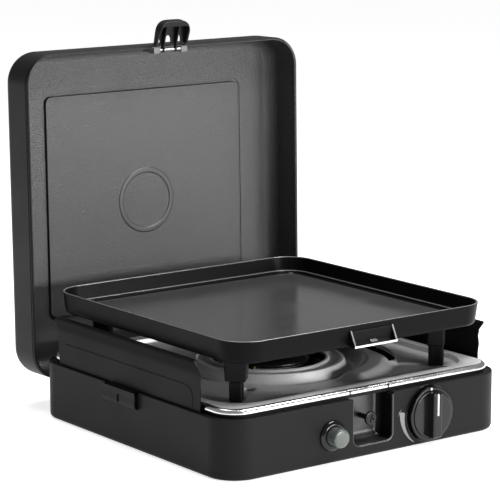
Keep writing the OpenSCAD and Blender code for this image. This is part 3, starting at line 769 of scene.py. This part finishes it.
def pressed_height(x, y):
    """Height of the hob between the burner's cone and the lowered area's edge."""
    r = np.hypot(x, y)
    turn = np.degrees(np.arctan2(y, x))
    base = DISH_Z + (LOW_Z - DISH_Z) * np.clip((r - CONE_FOOT_R) / (DISH_R - CONE_FOOT_R), 0, 1)

    # Shallow channels that run out along the diagonals to the posts
    leg = np.degrees(math.atan2(POST_Y, POST_X))
    across = r * np.abs(np.sin(np.radians(np.abs(np.abs(turn) - 90) - (90 - leg))))
    channel = (1 - ramp(across, 4.2, 5.6)) * ramp(r, 92, 96)
    base = base - CHANNEL_DEPTH * channel

    # Raised half ring to the right of the burner, which stays high as far as its opening
    roof = 65.4 + 0.2 * np.clip((r - 100) / 10, 0, 1)
    rise = ramp(r, 83.5, 100)
    edge = 1 - ramp(r, 112, 128)
    open_side = ramp(np.abs(turn), 30, 46)
    edge = 1 - (1 - edge) * open_side - (1 - ramp(-r, -129, -126)) * (1 - open_side)
    ends = 1 - ramp(np.abs(turn), 74, 81)
    return base + (roof - base) * rise * np.clip(edge, 0, 1) * ends


def hob_rings():
    """Rings of the hob's upper side, from the burner's opening out to the rim."""
    rings = []

    def ring(reach, height):
        x, y = reach * cosines, reach * sines
        z = height(x, y) if callable(height) else np.full(TURN_STEPS, height)
        rings.append(list(zip(x, y, z)))

    # Burner opening: rolled lip, flat collar, raised line and flank
    for r, z in ((57.0, 61.5), (57.0, 65.4), (57.3, 66.1), (58.0, 66.4), (59.4, 66.3), (60.4, 65.4),
                 (60.9, 64.3), (62.0, 64.0), (66.0, 64.0), (70.0, 64.0), (71.2, 64.3), (71.9, 65.5),
                 (73.0, 65.8), (75.2, 65.4), (76.4, 63.0), (78.6, 58.2), (80.0, 56.0), (81.6, 55.1)):
        ring(np.full(TURN_STEPS, r), z)

    low_edge = inset_reach(LOW_W, LOW_D, LOW_R, 0.8)
    for i in range(1, DISH_ROWS + 1):
        ring(CONE_EDGE_R + (low_edge - CONE_EDGE_R) * i / DISH_ROWS, pressed_height)

    # Step up to the flat band, and the rounded polished rim
    for inset, z in ((0.9, 61.6), (0.5, 63.0), (0.3, 65.0), (0.0, 65.7), (-0.7, HOB_Z)):
        ring(inset_reach(LOW_W, LOW_D, LOW_R, inset), z)
    ring(ray_reach(HOB_W - 12, HOB_D - 12, HOB_R - 3), HOB_Z)
    rim = [(RIM_R + 0.4, HOB_Z)] + arc(RIM_R, HOB_Z - RIM_R, RIM_R, 90, 180, 6)
    rim += [(0.0, 61.4), (0.5, 60.9), (1.4, 60.7), (2.6, 60.7)]
    for inset, z in rim:
        ring(inset_reach(HOB_W, HOB_D, HOB_R, inset), z)
    return rings


def on_rim(point, normal):
    """Whether a face is on the hob's rounded edge, outside its flat band."""
    beyond_x = max(abs(point.x) - HOB_W / 2 + HOB_R, 0)
    beyond_y = max(abs(point.y) - HOB_D / 2 + HOB_R, 0)
    return math.hypot(beyond_x, beyond_y) > HOB_R - RIM_R - 0.36


def make_hob():
    """Pressed steel top with the hump's opening and a notch at each end of the latch recess."""
    hob = make("hob", *loft(hob_rings(), caps=False))
    modify(hob, "SOLIDIFY", thickness=HOB_SHEET * MM, offset=-1.0, use_rim=True)
    lens = arc(0, 0, LENS_R, -42, 42, 39)
    ridge = [(103 - 0.00194 * y * y, y) for y in np.linspace(84, -84, 40)]
    cut(hob, prism("cutter", "z", lens + ridge[1:-1], 62.4, 80))
    front = -HOB_D / 2
    for x in (RECESS_X - RECESS_W / 2, RECESS_X + RECESS_W / 2):
        cut(hob, block("cutter", (x - 1.1, front - 2, 58), (x + 1.1, front + 2.2, 68)))
    finish(hob, "base", hob_steel, "stainless", "hob_top", "hob_hump", angle=28,
           more=(polished,), pick=on_rim)


def make_gap_shade_strip():
    """Black strip under the hob's rim, all the way round: it closes the gap there and paints the shadow line
    under the rim.
    """
    rings = []
    for inset, z in ((1.6, 57.6), (1.6, 61.2), (4.0, 61.2), (4.0, 57.6), (1.6, 57.6)):
        ring = outline(HOB_W - 2 * inset, HOB_D - 2 * inset, HOB_R - inset)
        rings.append([(x, y, z) for x, y in ring])
    seal = make("hob_gap_shade_strip", *loft(rings, caps=False))
    finish(seal, "base", foot_rubber, "boot_rubber")


make_hob()
make_gap_shade_strip()


# ---- Lid ----

PANEL_W, PANEL_D, PANEL_R, PANEL_Y = 247.0, 233.0, 8.0, 0.5
PANEL_RISE = 1.6
LID_INNER = LID_TOP - SHEET
LID_OUTER_R = 12.5
LID_INNER_R = 13.5
LID_INNER_INSET = 15.0
LID_ROLL_R = 1.5
LATCH_GAP = 42.6


def make_lid():
    """Deep lid with a rounded outer edge, a rolled rim and a panel pressed inwards."""
    rings = []

    def panel(grow, z):
        ring = outline(PANEL_W + 2 * grow, PANEL_D + 2 * grow, PANEL_R + grow)
        rings.append([(px, py + PANEL_Y, z) for px, py in ring])

    def shell(inset, z):
        ring = outline(TRAY_W - 2 * inset, LID_D - 2 * inset, CORNER_R - inset)
        rings.append([(px, py + LID_MID_Y, z) for px, py in ring])

    for grow, z in ((-4.2, LID_TOP - 2.0), (-2.9, LID_TOP - 1.8), (-2.4, LID_TOP - 0.4), (-1.8, LID_TOP)):
        panel(grow, z)
    for inset, z in arc(LID_OUTER_R, LID_TOP - LID_OUTER_R, LID_OUTER_R, 90, 180, 10):
        shell(inset, z)
    for inset, z in ((0, LID_Z + 3.9), (0.6, LID_Z + 3.3), (0.6, LID_Z + 2.9)):
        shell(inset, z)
    for inset, z in arc(LID_ROLL_R, LID_Z + LID_ROLL_R, LID_ROLL_R, 140, 430, 14):
        shell(inset, z)
    for inset, z in arc(LID_INNER_INSET, LID_INNER - LID_INNER_R, LID_INNER_R, 180, 90, 10):
        shell(inset, z)
    for grow, rise in ((2.7, 0), (2.1, -0.15), (1.9, -0.95), (-1.0, -0.95), (-1.15, 1.25), (-1.45, 1.6),
                       (-1.8, 1.75), (-2.4, PANEL_RISE)):
        panel(grow, LID_INNER - rise)
    lid = make("lid_shell", *loft(rings))
    gap_low = (LATCH_X - LATCH_GAP / 2, LID_FRONT_Y - 1, LID_Z - 1)
    gap_high = (LATCH_X + LATCH_GAP / 2, LID_FRONT_Y + 5, LID_Z + 9)
    cut(lid, block("cutter", gap_low, gap_high))
    hollow = Vector((0, hinge.y + LID_Z + 20 - hinge.z, hinge.z + hinge.y - LID_MID_Y))

    # The outside gets the darker copy of the paint; the inside's lighter shade is painted light
    def outside(point, normal):
        return normal.dot(point - hollow) > 0

    finish(opened(lid), "lid", lid_paint, "lid_paint", "lid", more=(lid_outside,), pick=outside)


def make_badge():
    """Plain raised ring on the lid's panel."""
    z = LID_INNER - PANEL_RISE
    profile = [(28.6, z + 0.3), (28.9, z), (29.6, z - 0.65), (30.4, z - 0.85), (33.6, z - 0.85),
               (34.4, z - 0.65), (35.1, z), (35.4, z + 0.3)]
    ring = lathe_ring("badge_ring", "z", (0, LID_MID_Y), profile, 128)
    finish(opened(ring), "lid", badge_paint, "badge_print", "lid_badge")


# ---- Latch ----

EAR_X, EAR_W = 17.2, 7.5
EAR_HOLE_R = 1.66
CLIP_HALF = 20.0
CLIP_LEN = 31.5
CLIP_HOLE_R = 1.65
RIB_HALF = 0.65
RIB_X = 7.75


def make_bracket():
    """Two ears for the pin on a block behind the lid's wall."""
    y = LID_FRONT_Y + 1.6
    reach = EAR_X + EAR_W / 2
    low, high = (LATCH_X - reach, y, LID_Z + 5.9), (LATCH_X + reach, y + 5.0, LID_Z + 17)
    bracket = block("latch_carrier", low, high)
    for side in (-1, 1):
        x = LATCH_X + side * EAR_X
        low, high = (x - EAR_W / 2, y, LID_Z - 3.4), (x + EAR_W / 2, y + 6.0, LID_Z + 6.4)
        unite(bracket, block("ear", low, high))
    soften(bracket, 0.45, 2)
    cut(bracket, bore("x", (PIN_Y, PIN_Z), EAR_HOLE_R, LATCH_X - 30, LATCH_X + 30))
    finish(opened(bracket), "lid", bracket_grey, "plated_steel", "latch_bracket")


def make_clip():
    """Moulded clip: a hollow cap that is deepest at its tip, with two spring ribs that turn on the pin."""
    half, back, low, tip = CLIP_HALF, PIN_Z + 2.6, PIN_Y - 5.6, PIN_Y - CLIP_LEN

    def cap(inset, top_inset, radius):
        points = [(LATCH_X - half + inset, low + 1), (LATCH_X - half + 1.6 + inset, tip + top_inset),
                  (LATCH_X + half - 1.0 - inset, tip + top_inset), (LATCH_X + half - inset, low + 1)]
        return rounded(points, [0, radius, radius, 0], 9)

    clip = prism("latch_cap", "z", cap(0, 0, 13), PIN_Z - 7.4, back)
    soften(clip, 1.3, 4, 50)
    hollow = prism("cutter", "z", cap(1.8, 5.6, 4), PIN_Z - 9, back - 1.4)
    slope = [(low + 2, PIN_Z - 8), (low + 2, PIN_Z - 2.2), (tip + 9, PIN_Z - 7.3), (tip + 9, PIN_Z - 8)]
    wedge = prism("cutter", "x", slope, LATCH_X - half - 1, LATCH_X + half + 1)
    foot = block("cutter", (LATCH_X - half - 2, low, PIN_Z - 9), (LATCH_X + half + 2, low + 6, back + 1))
    cut(clip, hollow, wedge, foot)

    # Three rounded dips in the cap's lower edge
    for offset, reach in ((-15.5, 3.6), (-2.6, 4.2), (10.4, 3.4)):
        x = LATCH_X + offset
        petal = [(x - reach, low + 1), (x + reach, low + 1)]
        petal += [(x + reach * c, low - 1.0 - 8.2 * s) for c, s in arc(0, 0, 1, 0, 180, 14)]
        cut(clip, prism("cutter", "z", petal, back - 3, back + 1))

    spine = arc(PIN_Y, PIN_Z, 2.6, 100, -100, 12)
    for y, rise in ((PIN_Y - 6, -2.4), (PIN_Y - 16, -3.6), (tip + 7, -5.4), (tip + 4, -5.4), (tip + 4, 1.4),
                    (PIN_Y - 16, 1.4), (PIN_Y - 6, 1.6)):
        spine.append((y, PIN_Z + rise))
    for side in (-1, 1):
        x = stud_middle.x + side * RIB_X
        unite(clip, prism("rib", "x", spine, x - RIB_HALF, x + RIB_HALF))
    cut(clip, bore("x", (PIN_Y, PIN_Z), CLIP_HOLE_R, LATCH_X - 30, LATCH_X + 30))
    soften(clip, 0.25, 2, 45)
    turned(clip, CLIP_LEAN, "X", (0, PIN_Y, PIN_Z))
    finish(opened(clip), "latch", clip_plastic, "black_plastic", "latch_clip")


make_lid()
make_badge()
make_bracket()
make_clip()


# ---- Griddle plate ----

PLATE_W = plate_high.x - plate_low.x
PLATE_D = plate_high.y - plate_low.y
PLATE_Y = (plate_high.y + plate_low.y) / 2
PLATE_Z = plate_low.z
PLATE_TOP = plate_high.z
PLATE_FOOT_R = 4.4
PLATE_RIM_R = 1.1
FLOOR_INSET = 12.5
SOCKET_X = 2.6
SOCKET_HALF = 25.2
GUSSET_HALF = 0.8
POST_FOOT_Z = 61.0
POST_TOP_Z = 82.0
BOOT_CORNER_R = 1.6


def make_plate():
    """Cast pan: drafted wall with a rounded rim, a ledge at its foot and a groove round the floor."""
    low, top = PLATE_Z, PLATE_TOP
    profile = arc(7.0, low + PLATE_FOOT_R, PLATE_FOOT_R, 270, 190, 6)
    profile += [(0.5, top - 2.0)] + arc(1.35, top - PLATE_RIM_R, PLATE_RIM_R, 170, 20, 6)
    for inset, rise in ((3.7, 8.6), (4.0, 7.9), (4.5, 7.6), (5.6, 7.4), (6.1, 7.0), (6.5, 5.4), (7.1, 4.7),
                        (8.2, 4.4), (11.2, 4.4), (12.0, 4.6), (12.8, 5.0), (13.6, 5.1)):
        profile.append((inset, low + rise))
    plate = pan("griddle_pan", PLATE_W, PLATE_D, CORNER_R, profile, PLATE_Y, 18)
    floor_x, floor_y = PLATE_W / 2 - FLOOR_INSET, PLATE_D / 2 - FLOOR_INSET

    def part_of_pan(point, normal):
        """2 on the ledge and on the crown of the rim, which get a painted highlight, 1 on the floor inside
        its groove, 0 elsewhere.
        """
        if point.z > top - 0.6 or low + 7.0 < point.z < low + 7.6:
            return 2
        return low + 3 < point.z < low + 6 and abs(point.x) < floor_x and abs(point.y - PLATE_Y) < floor_y

    # The floor's lighter coat paints part of its reflection
    finish(plate, "griddle", plate_coat, "nonstick", "griddle_plate", angle=40,
           more=(nonstick, painted_glint), pick=part_of_pan)


def make_grip_socket():
    """Gussets and a bar at the plate's front, with machined bright edges round a black sheet that paints the
    shade inside the socket.
    """
    wall = PLATE_Y - PLATE_D / 2
    front = wall - 7.4
    low = PLATE_Z + 1.3
    left, right = SOCKET_X - SOCKET_HALF, SOCKET_X + SOCKET_HALF
    bar_end = (right + GUSSET_HALF, front + 2.4, low + 2.0)
    bar = block("grip_bracket", (left - GUSSET_HALF, front, low), bar_end)
    side = [(wall + 2.2, low + 0.2), (front + 0.3, low + 0.2), (front, low + 1.8), (wall - 0.4, low + 15.7),
            (wall + 0.6, low + 15.7)]
    for x in (left, right):
        unite(bar, prism("gusset", "x", side, x - GUSSET_HALF, x + GUSSET_HALF))
    soften(bar, 0.3, 2)

    def in_front(point, normal):
        return normal.y < -0.5 and point.y < wall

    finish(bar, "griddle", plate_coat, "cut_aluminium", "grip_socket", more=(bare_aluminium,), pick=in_front)

    # Black sheet that paints the shade inside the socket, with a tab at its foot
    inside = [(wall + 1.9, low + 0.5), (wall - 0.25, low + 3), (wall - 0.9, low + 13.8),
              (wall + 0.6, low + 14.8)]
    pocket = prism("grip_pocket", "x", inside, left + 0.9, right - 0.9)
    tab = [(wall + 1, low + 2), (wall - 3.6, low + 2), (wall - 3.6, low + 3), (wall + 1, low + 5.4)]
    unite(pocket, prism("tab", "x", tab, 0, 8))
    soften(pocket, 0.3, 2)

    # The tab's top faces get a painted highlight
    def on_tab(point, normal):
        return point.y < wall - 1.2 and normal.z > 0.2

    finish(pocket, "griddle", painted_shade_black, "nonstick", more=(painted_glint,), pick=on_tab)


def to_corner(obj, sx, sy):
    """Moves a leg's part from the middle to its corner, turned to the diagonal."""
    turned(obj, math.radians(45 * sx * sy), "Z", (0, 0, 0))
    obj.data.transform(Matrix.Translation(Vector((sx * POST_X, sy * POST_Y, 0)) * MM))


def make_foot(sx, sy, name, node):
    """Rubber boot under a corner of the plate, wider at its top, over the post's peg."""
    low, high = POST_TOP_Z, PLATE_Z
    rings = []
    for half_x, half_y, z in ((8.5, 9.5, low), (8.5, 9.9, low + 2.0), (8.5, 10.6, low + 11),
                              (8.6, 11.6, high - 4), (8.8, 12.2, high - 1.5), (9.6, 12.6, high)):
        rings.append([(px, py, z) for px, py in outline(2 * half_x, 2 * half_y, BOOT_CORNER_R, 4)])
    boot = make(name, *loft(rings))
    cut(boot, block("cutter", (-5, -4.5, low - 1), (5, 4.5, low + 6)))
    soften(boot, 0.4, 2, 50)
    to_corner(boot, sx, sy)
    finish(boot, "griddle", foot_rubber, "boot_rubber", node)


def make_post(sx, sy, name, node):
    """Moulded post on the hob with chamfered edges, a groove in two sides and a peg for the boot."""
    foot, top = POST_FOOT_Z, POST_TOP_Z
    post = block(name, (-7.5, -6, foot), (7.5, 6, top))
    soften(post, 1.4)
    cut(post, block("cutter", (-9, -8, foot - 1), (9, 8, foot)),
        block("cutter", (-2.6, -8, foot + 3), (2.6, -5.2, top - 2)),
        block("cutter", (-2.6, 5.2, foot + 3), (2.6, 8, top - 2)))
    peg = block("peg", (-4.5, -4, top - 1), (4.5, 4, top + 5))
    soften(peg, 0.9)
    unite(post, peg)
    to_corner(post, sx, sy)
    finish(post, "base", black_paint, "black_paint", node)


make_plate()
make_grip_socket()
for across, sx in (("left", -1), ("right", 1)):
    for along, sy in (("front", -1), ("rear", 1)):
        corner = along + "_" + across
        make_foot(sx, sy, corner + "_boot", corner + "_foot")
        make_post(sx, sy, corner + "_stand", corner + "_post")


# ---- Windshields and their clips ----

WING_FRONT = wing_low.y
WING_BACK = wing_high.y
TONGUE_HALF = 24.0
STRAP_HALF = 28.5
EMBOSS_TOP = 81.0
EMBOSS_BEND = 12.0
EMBOSS_FRONT = WING_FRONT + 11.5


def finish_both(drawn, piece, node, material, slot, body=None):
    """Finishes a mirror image on the left side, and that one turned half way round on the right."""
    left = mirrored(drawn, "left_" + piece)
    right = half_turned(left, "right_" + piece)
    bpy.data.objects.remove(drawn)
    for side, obj in (("right", right), ("left", left)):
        finish(obj, body or side + "_shield", material, slot, side + "_" + node)


def make_windshields():
    """Sheet with a lip along its top, a rounded ridge, an embossed line and a tongue for the clip."""
    outer = [(166.5, 58.3), (166.5, 89), (166.6, 92.6), (166.2, 95.2), (165.4, 99.4), (165.0, 102.4),
             (164.4, 103.6), (163.2, 104.2), (159.6, 104.4)]
    inner = [(159.6, 103.5), (163.0, 103.3), (163.7, 102.8), (164.0, 102.0), (164.4, 99.2), (165.2, 95.0),
             (165.5, 92.4), (165.5, 58.3)]
    sheet = prism("drawn_shield", "y", outer + inner, WING_FRONT - 1, WING_BACK + 1)
    front, back = WING_FRONT, WING_BACK
    side = [(front, 50), (front, 92.5), (front + 6, 98.5), (front + 13, 103), (front + 20, 104.6),
            (front + 24, 106), (back - 4, 106), (back, 104.6), (back - 0.6, 101.5), (back - 8.6, 93.6),
            (back - 9.9, 87), (back - 8.6, 79), (back - 10, 70), (back - 10, 50)]
    combine(sheet, prism("trim", "x", side, 150, 180), "INTERSECT")

    bend = arc(EMBOSS_FRONT + EMBOSS_BEND, EMBOSS_TOP - EMBOSS_BEND, EMBOSS_BEND, 90, 180, 8)
    line = [(115, EMBOSS_TOP)] + bend + [(EMBOSS_FRONT, 61.5)]
    cut(sheet, tube("cutter", [(167.0, y, z) for y, z in line], 0.95, 10))

    tongue = [(165.5, 59.5), (165.5, 56.7), (171.4, 56.7), (171.4, 44), (172.4, 44), (172.4, 57.9),
              (166.5, 57.9), (166.5, 59.5)]
    unite(sheet, prism("tongue", "y", tongue, CLIP_Y - TONGUE_HALF, CLIP_Y + TONGUE_HALF))
    soften(sheet, 0.2, 2, 40)
    finish_both(sheet, "shield_sheet", "windshield", shield_paint, "black_paint")


def make_wing_clips():
    """Pressed strap on the tray's side: hooked in below, bulged, and open at its top for the tongue."""
    outer = [(170.0, 41.0), (171.6, 41.0), (173.0, 41.6), (174.1, 43.2), (174.5, 45.2), (174.3, 48),
             (174.1, 51), (174.2, 54), (174.5, 57.5)]
    inner = [(173.1, 57.5), (173.0, 54), (172.95, 51), (173.05, 48), (173.1, 45.6), (172.8, 43.9),
             (172.0, 42.9), (170.0, 42.5)]
    strap = prism("drawn_strap", "y", outer + inner, CLIP_Y - STRAP_HALF, CLIP_Y + STRAP_HALF)
    slot = [(y + CLIP_Y, z + 47.8) for y, z in outline(3.2, 8.4, 1.55, 5)]
    cut(strap, prism("cutter", "x", slot, 165, 180))
    soften(strap, 0.25, 2, 40)
    finish_both(strap, "strap", "wing_clip", tray_paint, "charcoal_paint", "base")


make_windshields()
make_wing_clips()


# ---- Knob, dial and igniter ----

KNOB = (knob_middle.x, knob_middle.z)
KNOB_DISC_Y = FRONT_Y - 4.0
KNOB_TOP_Y = FRONT_Y - 15.0
KNOB_BORE_R = 4.05
GRIP_REACH = 22.6
GRIP_HALF = 5.5
POINTER_RISE = 10.6
SCALE_START, SCALE_SWEEP = 174.0, 61.0


def from_knob(r, degrees):
    """Point at a distance and direction from the knob's middle, in the plane of the tray's front."""
    a = math.radians(degrees)
    return (KNOB[0] + r * math.cos(a), KNOB[1] + r * math.sin(a))


def pointer_outline(w, d, r):
    """Outline of the pointer line or of its groove, on the grip above the knob's middle."""
    return [(px + KNOB[0], pz + KNOB[1] + POINTER_RISE) for px, pz in outline(w, d, r, 5)]


def make_grip():
    """Ridge across the knob, narrower towards its top."""
    y, top = KNOB_DISC_Y, KNOB_TOP_Y
    lift = math.degrees(math.asin(GRIP_HALF / GRIP_REACH))
    foot = arc(*KNOB, GRIP_REACH, 90 - lift, 90 + lift, 6)
    foot += arc(*KNOB, GRIP_REACH, 270 - lift, 270 + lift, 6)
    rings = []
    for share, depth in ((1.12, y - 2.4), (1.04, y - 4.5), (1.0, y - 7), (0.97, top + 1.6),
                         (0.92, top + 0.7), (0.80, top + 0.15), (0.66, top)):
        along = 1 - (1.0 - min(share, 1.0)) * 0.32
        ring = [(KNOB[0] + (px - KNOB[0]) * share, KNOB[1] + (pz - KNOB[1]) * along) for px, pz in foot]
        rings.append([(px, depth, pz) for px, pz in ring])
    return make("grip", *loft(rings))


def make_knob():
    """Disc with a raised face, a grip ridge across it, a white pointer line and a white dot."""
    y, top = KNOB_DISC_Y, KNOB_TOP_Y
    profile = [(4.02, y), (25.6, y), (26.4, y - 0.5), (26.4, y - 1.5), (26.0, y - 1.95), (25.4, y - 2.1),
               (23.9, y - 2.1), (23.6, y - 1.8), (23.35, y - 1.8), (23.2, y - 2.1), (23.2, y - 2.8),
               (22.6, y - 3.2), (21.0, y - 3.2), (20.4, y - 3.0), (4.02, y - 3.0)]
    knob = lathe_ring("knob_cap", "y", KNOB, profile, 128)
    unite(knob, make_grip())
    cut(knob, prism("cutter", "y", pointer_outline(2.2, 22.0, 1.0), top - 1, top + 0.6),
        bore("y", KNOB, KNOB_BORE_R, y + 1, FRONT_Y - 12.0, 48))
    finish(knob, "knob", gloss_plastic, "gloss_black", "knob", angle=36)
    dot = [(1.4, y - 2.0), (1.4, y - 2.2), (1.1, y - 2.35)]
    mark = lathe("knob_dot", "y", from_knob(24.75, 93), dot, 24)
    finish(mark, "knob", white_print, "white_mark")
    pointer = prism("knob_line", "y", pointer_outline(2.1, 21.8, 0.95), top - 0.05, top + 0.58)
    finish(pointer, "knob", white_print, "white_mark", "knob_pointer")


def make_dial():
    """Flat plate round the knob with a raised edge."""
    y = FRONT_Y
    profile = [(5.0, y - 0.4), (26.9, y - 0.4), (27.3, y - 0.9), (28.0, y - 1.0), (28.5, y - 0.6),
               (28.5, y + 0.2)]
    plate = lathe_ring("dial_plate", "y", KNOB, profile, 128)
    finish(plate, "base", gloss_plastic, "gloss_black", "dial")


def make_scale():
    """Printed flame scale that narrows downwards, and a spark mark above it."""
    outer, inner = [], []
    for t in np.linspace(0, 1, 28):
        a = SCALE_START + SCALE_SWEEP * t
        outer.append(from_knob(36.2 - 5.6 * t + 1.6 * t * t, a))
        inner.append(from_knob(29.7 + 1.9 * t, a))
    head = []
    for a in np.linspace(2.8, 0.3, 7):
        head.append(from_knob(32.95 + 3.2 * math.cos(a), SCALE_START - 3.4 * math.sin(a)))
    scale = front_print("dial_scale", outer + inner[::-1] + head)
    finish(scale, "base", grey_print, "white_mark")
    bolt = [(36.6, 39.4), (32.3, 35.5), (33.9, 35.2), (31.2, 32.6), (35.6, 35.7), (34.2, 36.2)]
    finish(front_print("spark_mark", bolt), "base", grey_print, "white_mark")


def make_igniter():
    """Round collar and a domed translucent button."""
    y = FRONT_Y
    tip = y - 16
    centre = (button_middle.x, button_middle.z)
    collar = [(9.4, y + 1.5), (9.4, y - 3.2), (9.8, y - 3.8), (10.6, y - 4.0), (12.0, y - 3.9),
              (13.4, y - 3.1), (14.4, y - 2.2), (14.9, y - 1.2), (15.0, y), (11.4, y), (11.4, y + 1.5)]
    bezel = lathe_ring("igniter_collar", "y", centre, collar)
    finish(bezel, "base", gloss_plastic, "black_plastic", "igniter_bezel")
    cap = [(0, y + 10), (8.6, y + 10), (9.0, y + 9.6), (9.0, tip + 2.6), (8.9, tip + 1.9), (8.5, tip + 1.2),
           (7.7, tip + 0.75), (6.6, tip + 0.5), (4.2, tip + 0.18), (2.0, tip + 0.04), (0, tip)]
    finish(lathe("igniter_cap", "y", centre, cap), "button", smoke_cap, "smoke_plastic", "igniter_button")


make_knob()
make_dial()
make_scale()
make_igniter()


# ---- Burner ----

def make_flame_cap():
    """Burner's cap: a flat top with a turned dimple, a rounded edge and a step below."""
    profile = [(0, 70.0), (8, 70.0), (9, 69.6), (10, 70.0), (30, 69.9), (34.5, 69.5), (36.5, 69.0),
               (38, 68.2), (40.6, 66.4), (41, 65.6), (41, 63.6), (40.4, 63.0), (35, 63.0), (35, 60.5),
               (33, 60.5), (33, 63.0), (0, 63.0)]
    finish(lathe("flame_cap", "z", (0, 0), profile, 128), "base", enamel, "enamel", "burner_cap")


make_flame_cap()


# ---- Everything that keeps its CAD mesh ----

CAD_FINISHES = {
    plated: ("burner_bracket", "valve_bracket", "left_hinge_arm", "right_hinge_arm", "left_hinge_bracket",
             "right_hinge_bracket", "left_hinge_pin", "right_hinge_pin", "hinge_rivets", "valve_plunger",
             "post_screws"),
    pin_steel: ("latch_pin",),
    cast_metal: ("burner_head", "mixing_tube"),
    brass: ("jet", "jet_holder", "gas_valve", "safety_magnet", "valve_stem", "gas_inlet", "inlet_nut",
            "thermocouple"),
    copper: ("feed_pipe", "inlet_pipe", "thermocouple_lead"),
    ceramic: ("spark_electrode",),
    lead_rubber: ("electrode_lead",),
    enamel: ("burner_bowl",),
    dark_plastic: ("igniter_body",),
}
for material, names in CAD_FINISHES.items():
    for name in names:
        slots = cad[name].material_slots
        if not slots:
            cad[name].data.materials.append(material)
        for slot in slots:
            slot.material = material
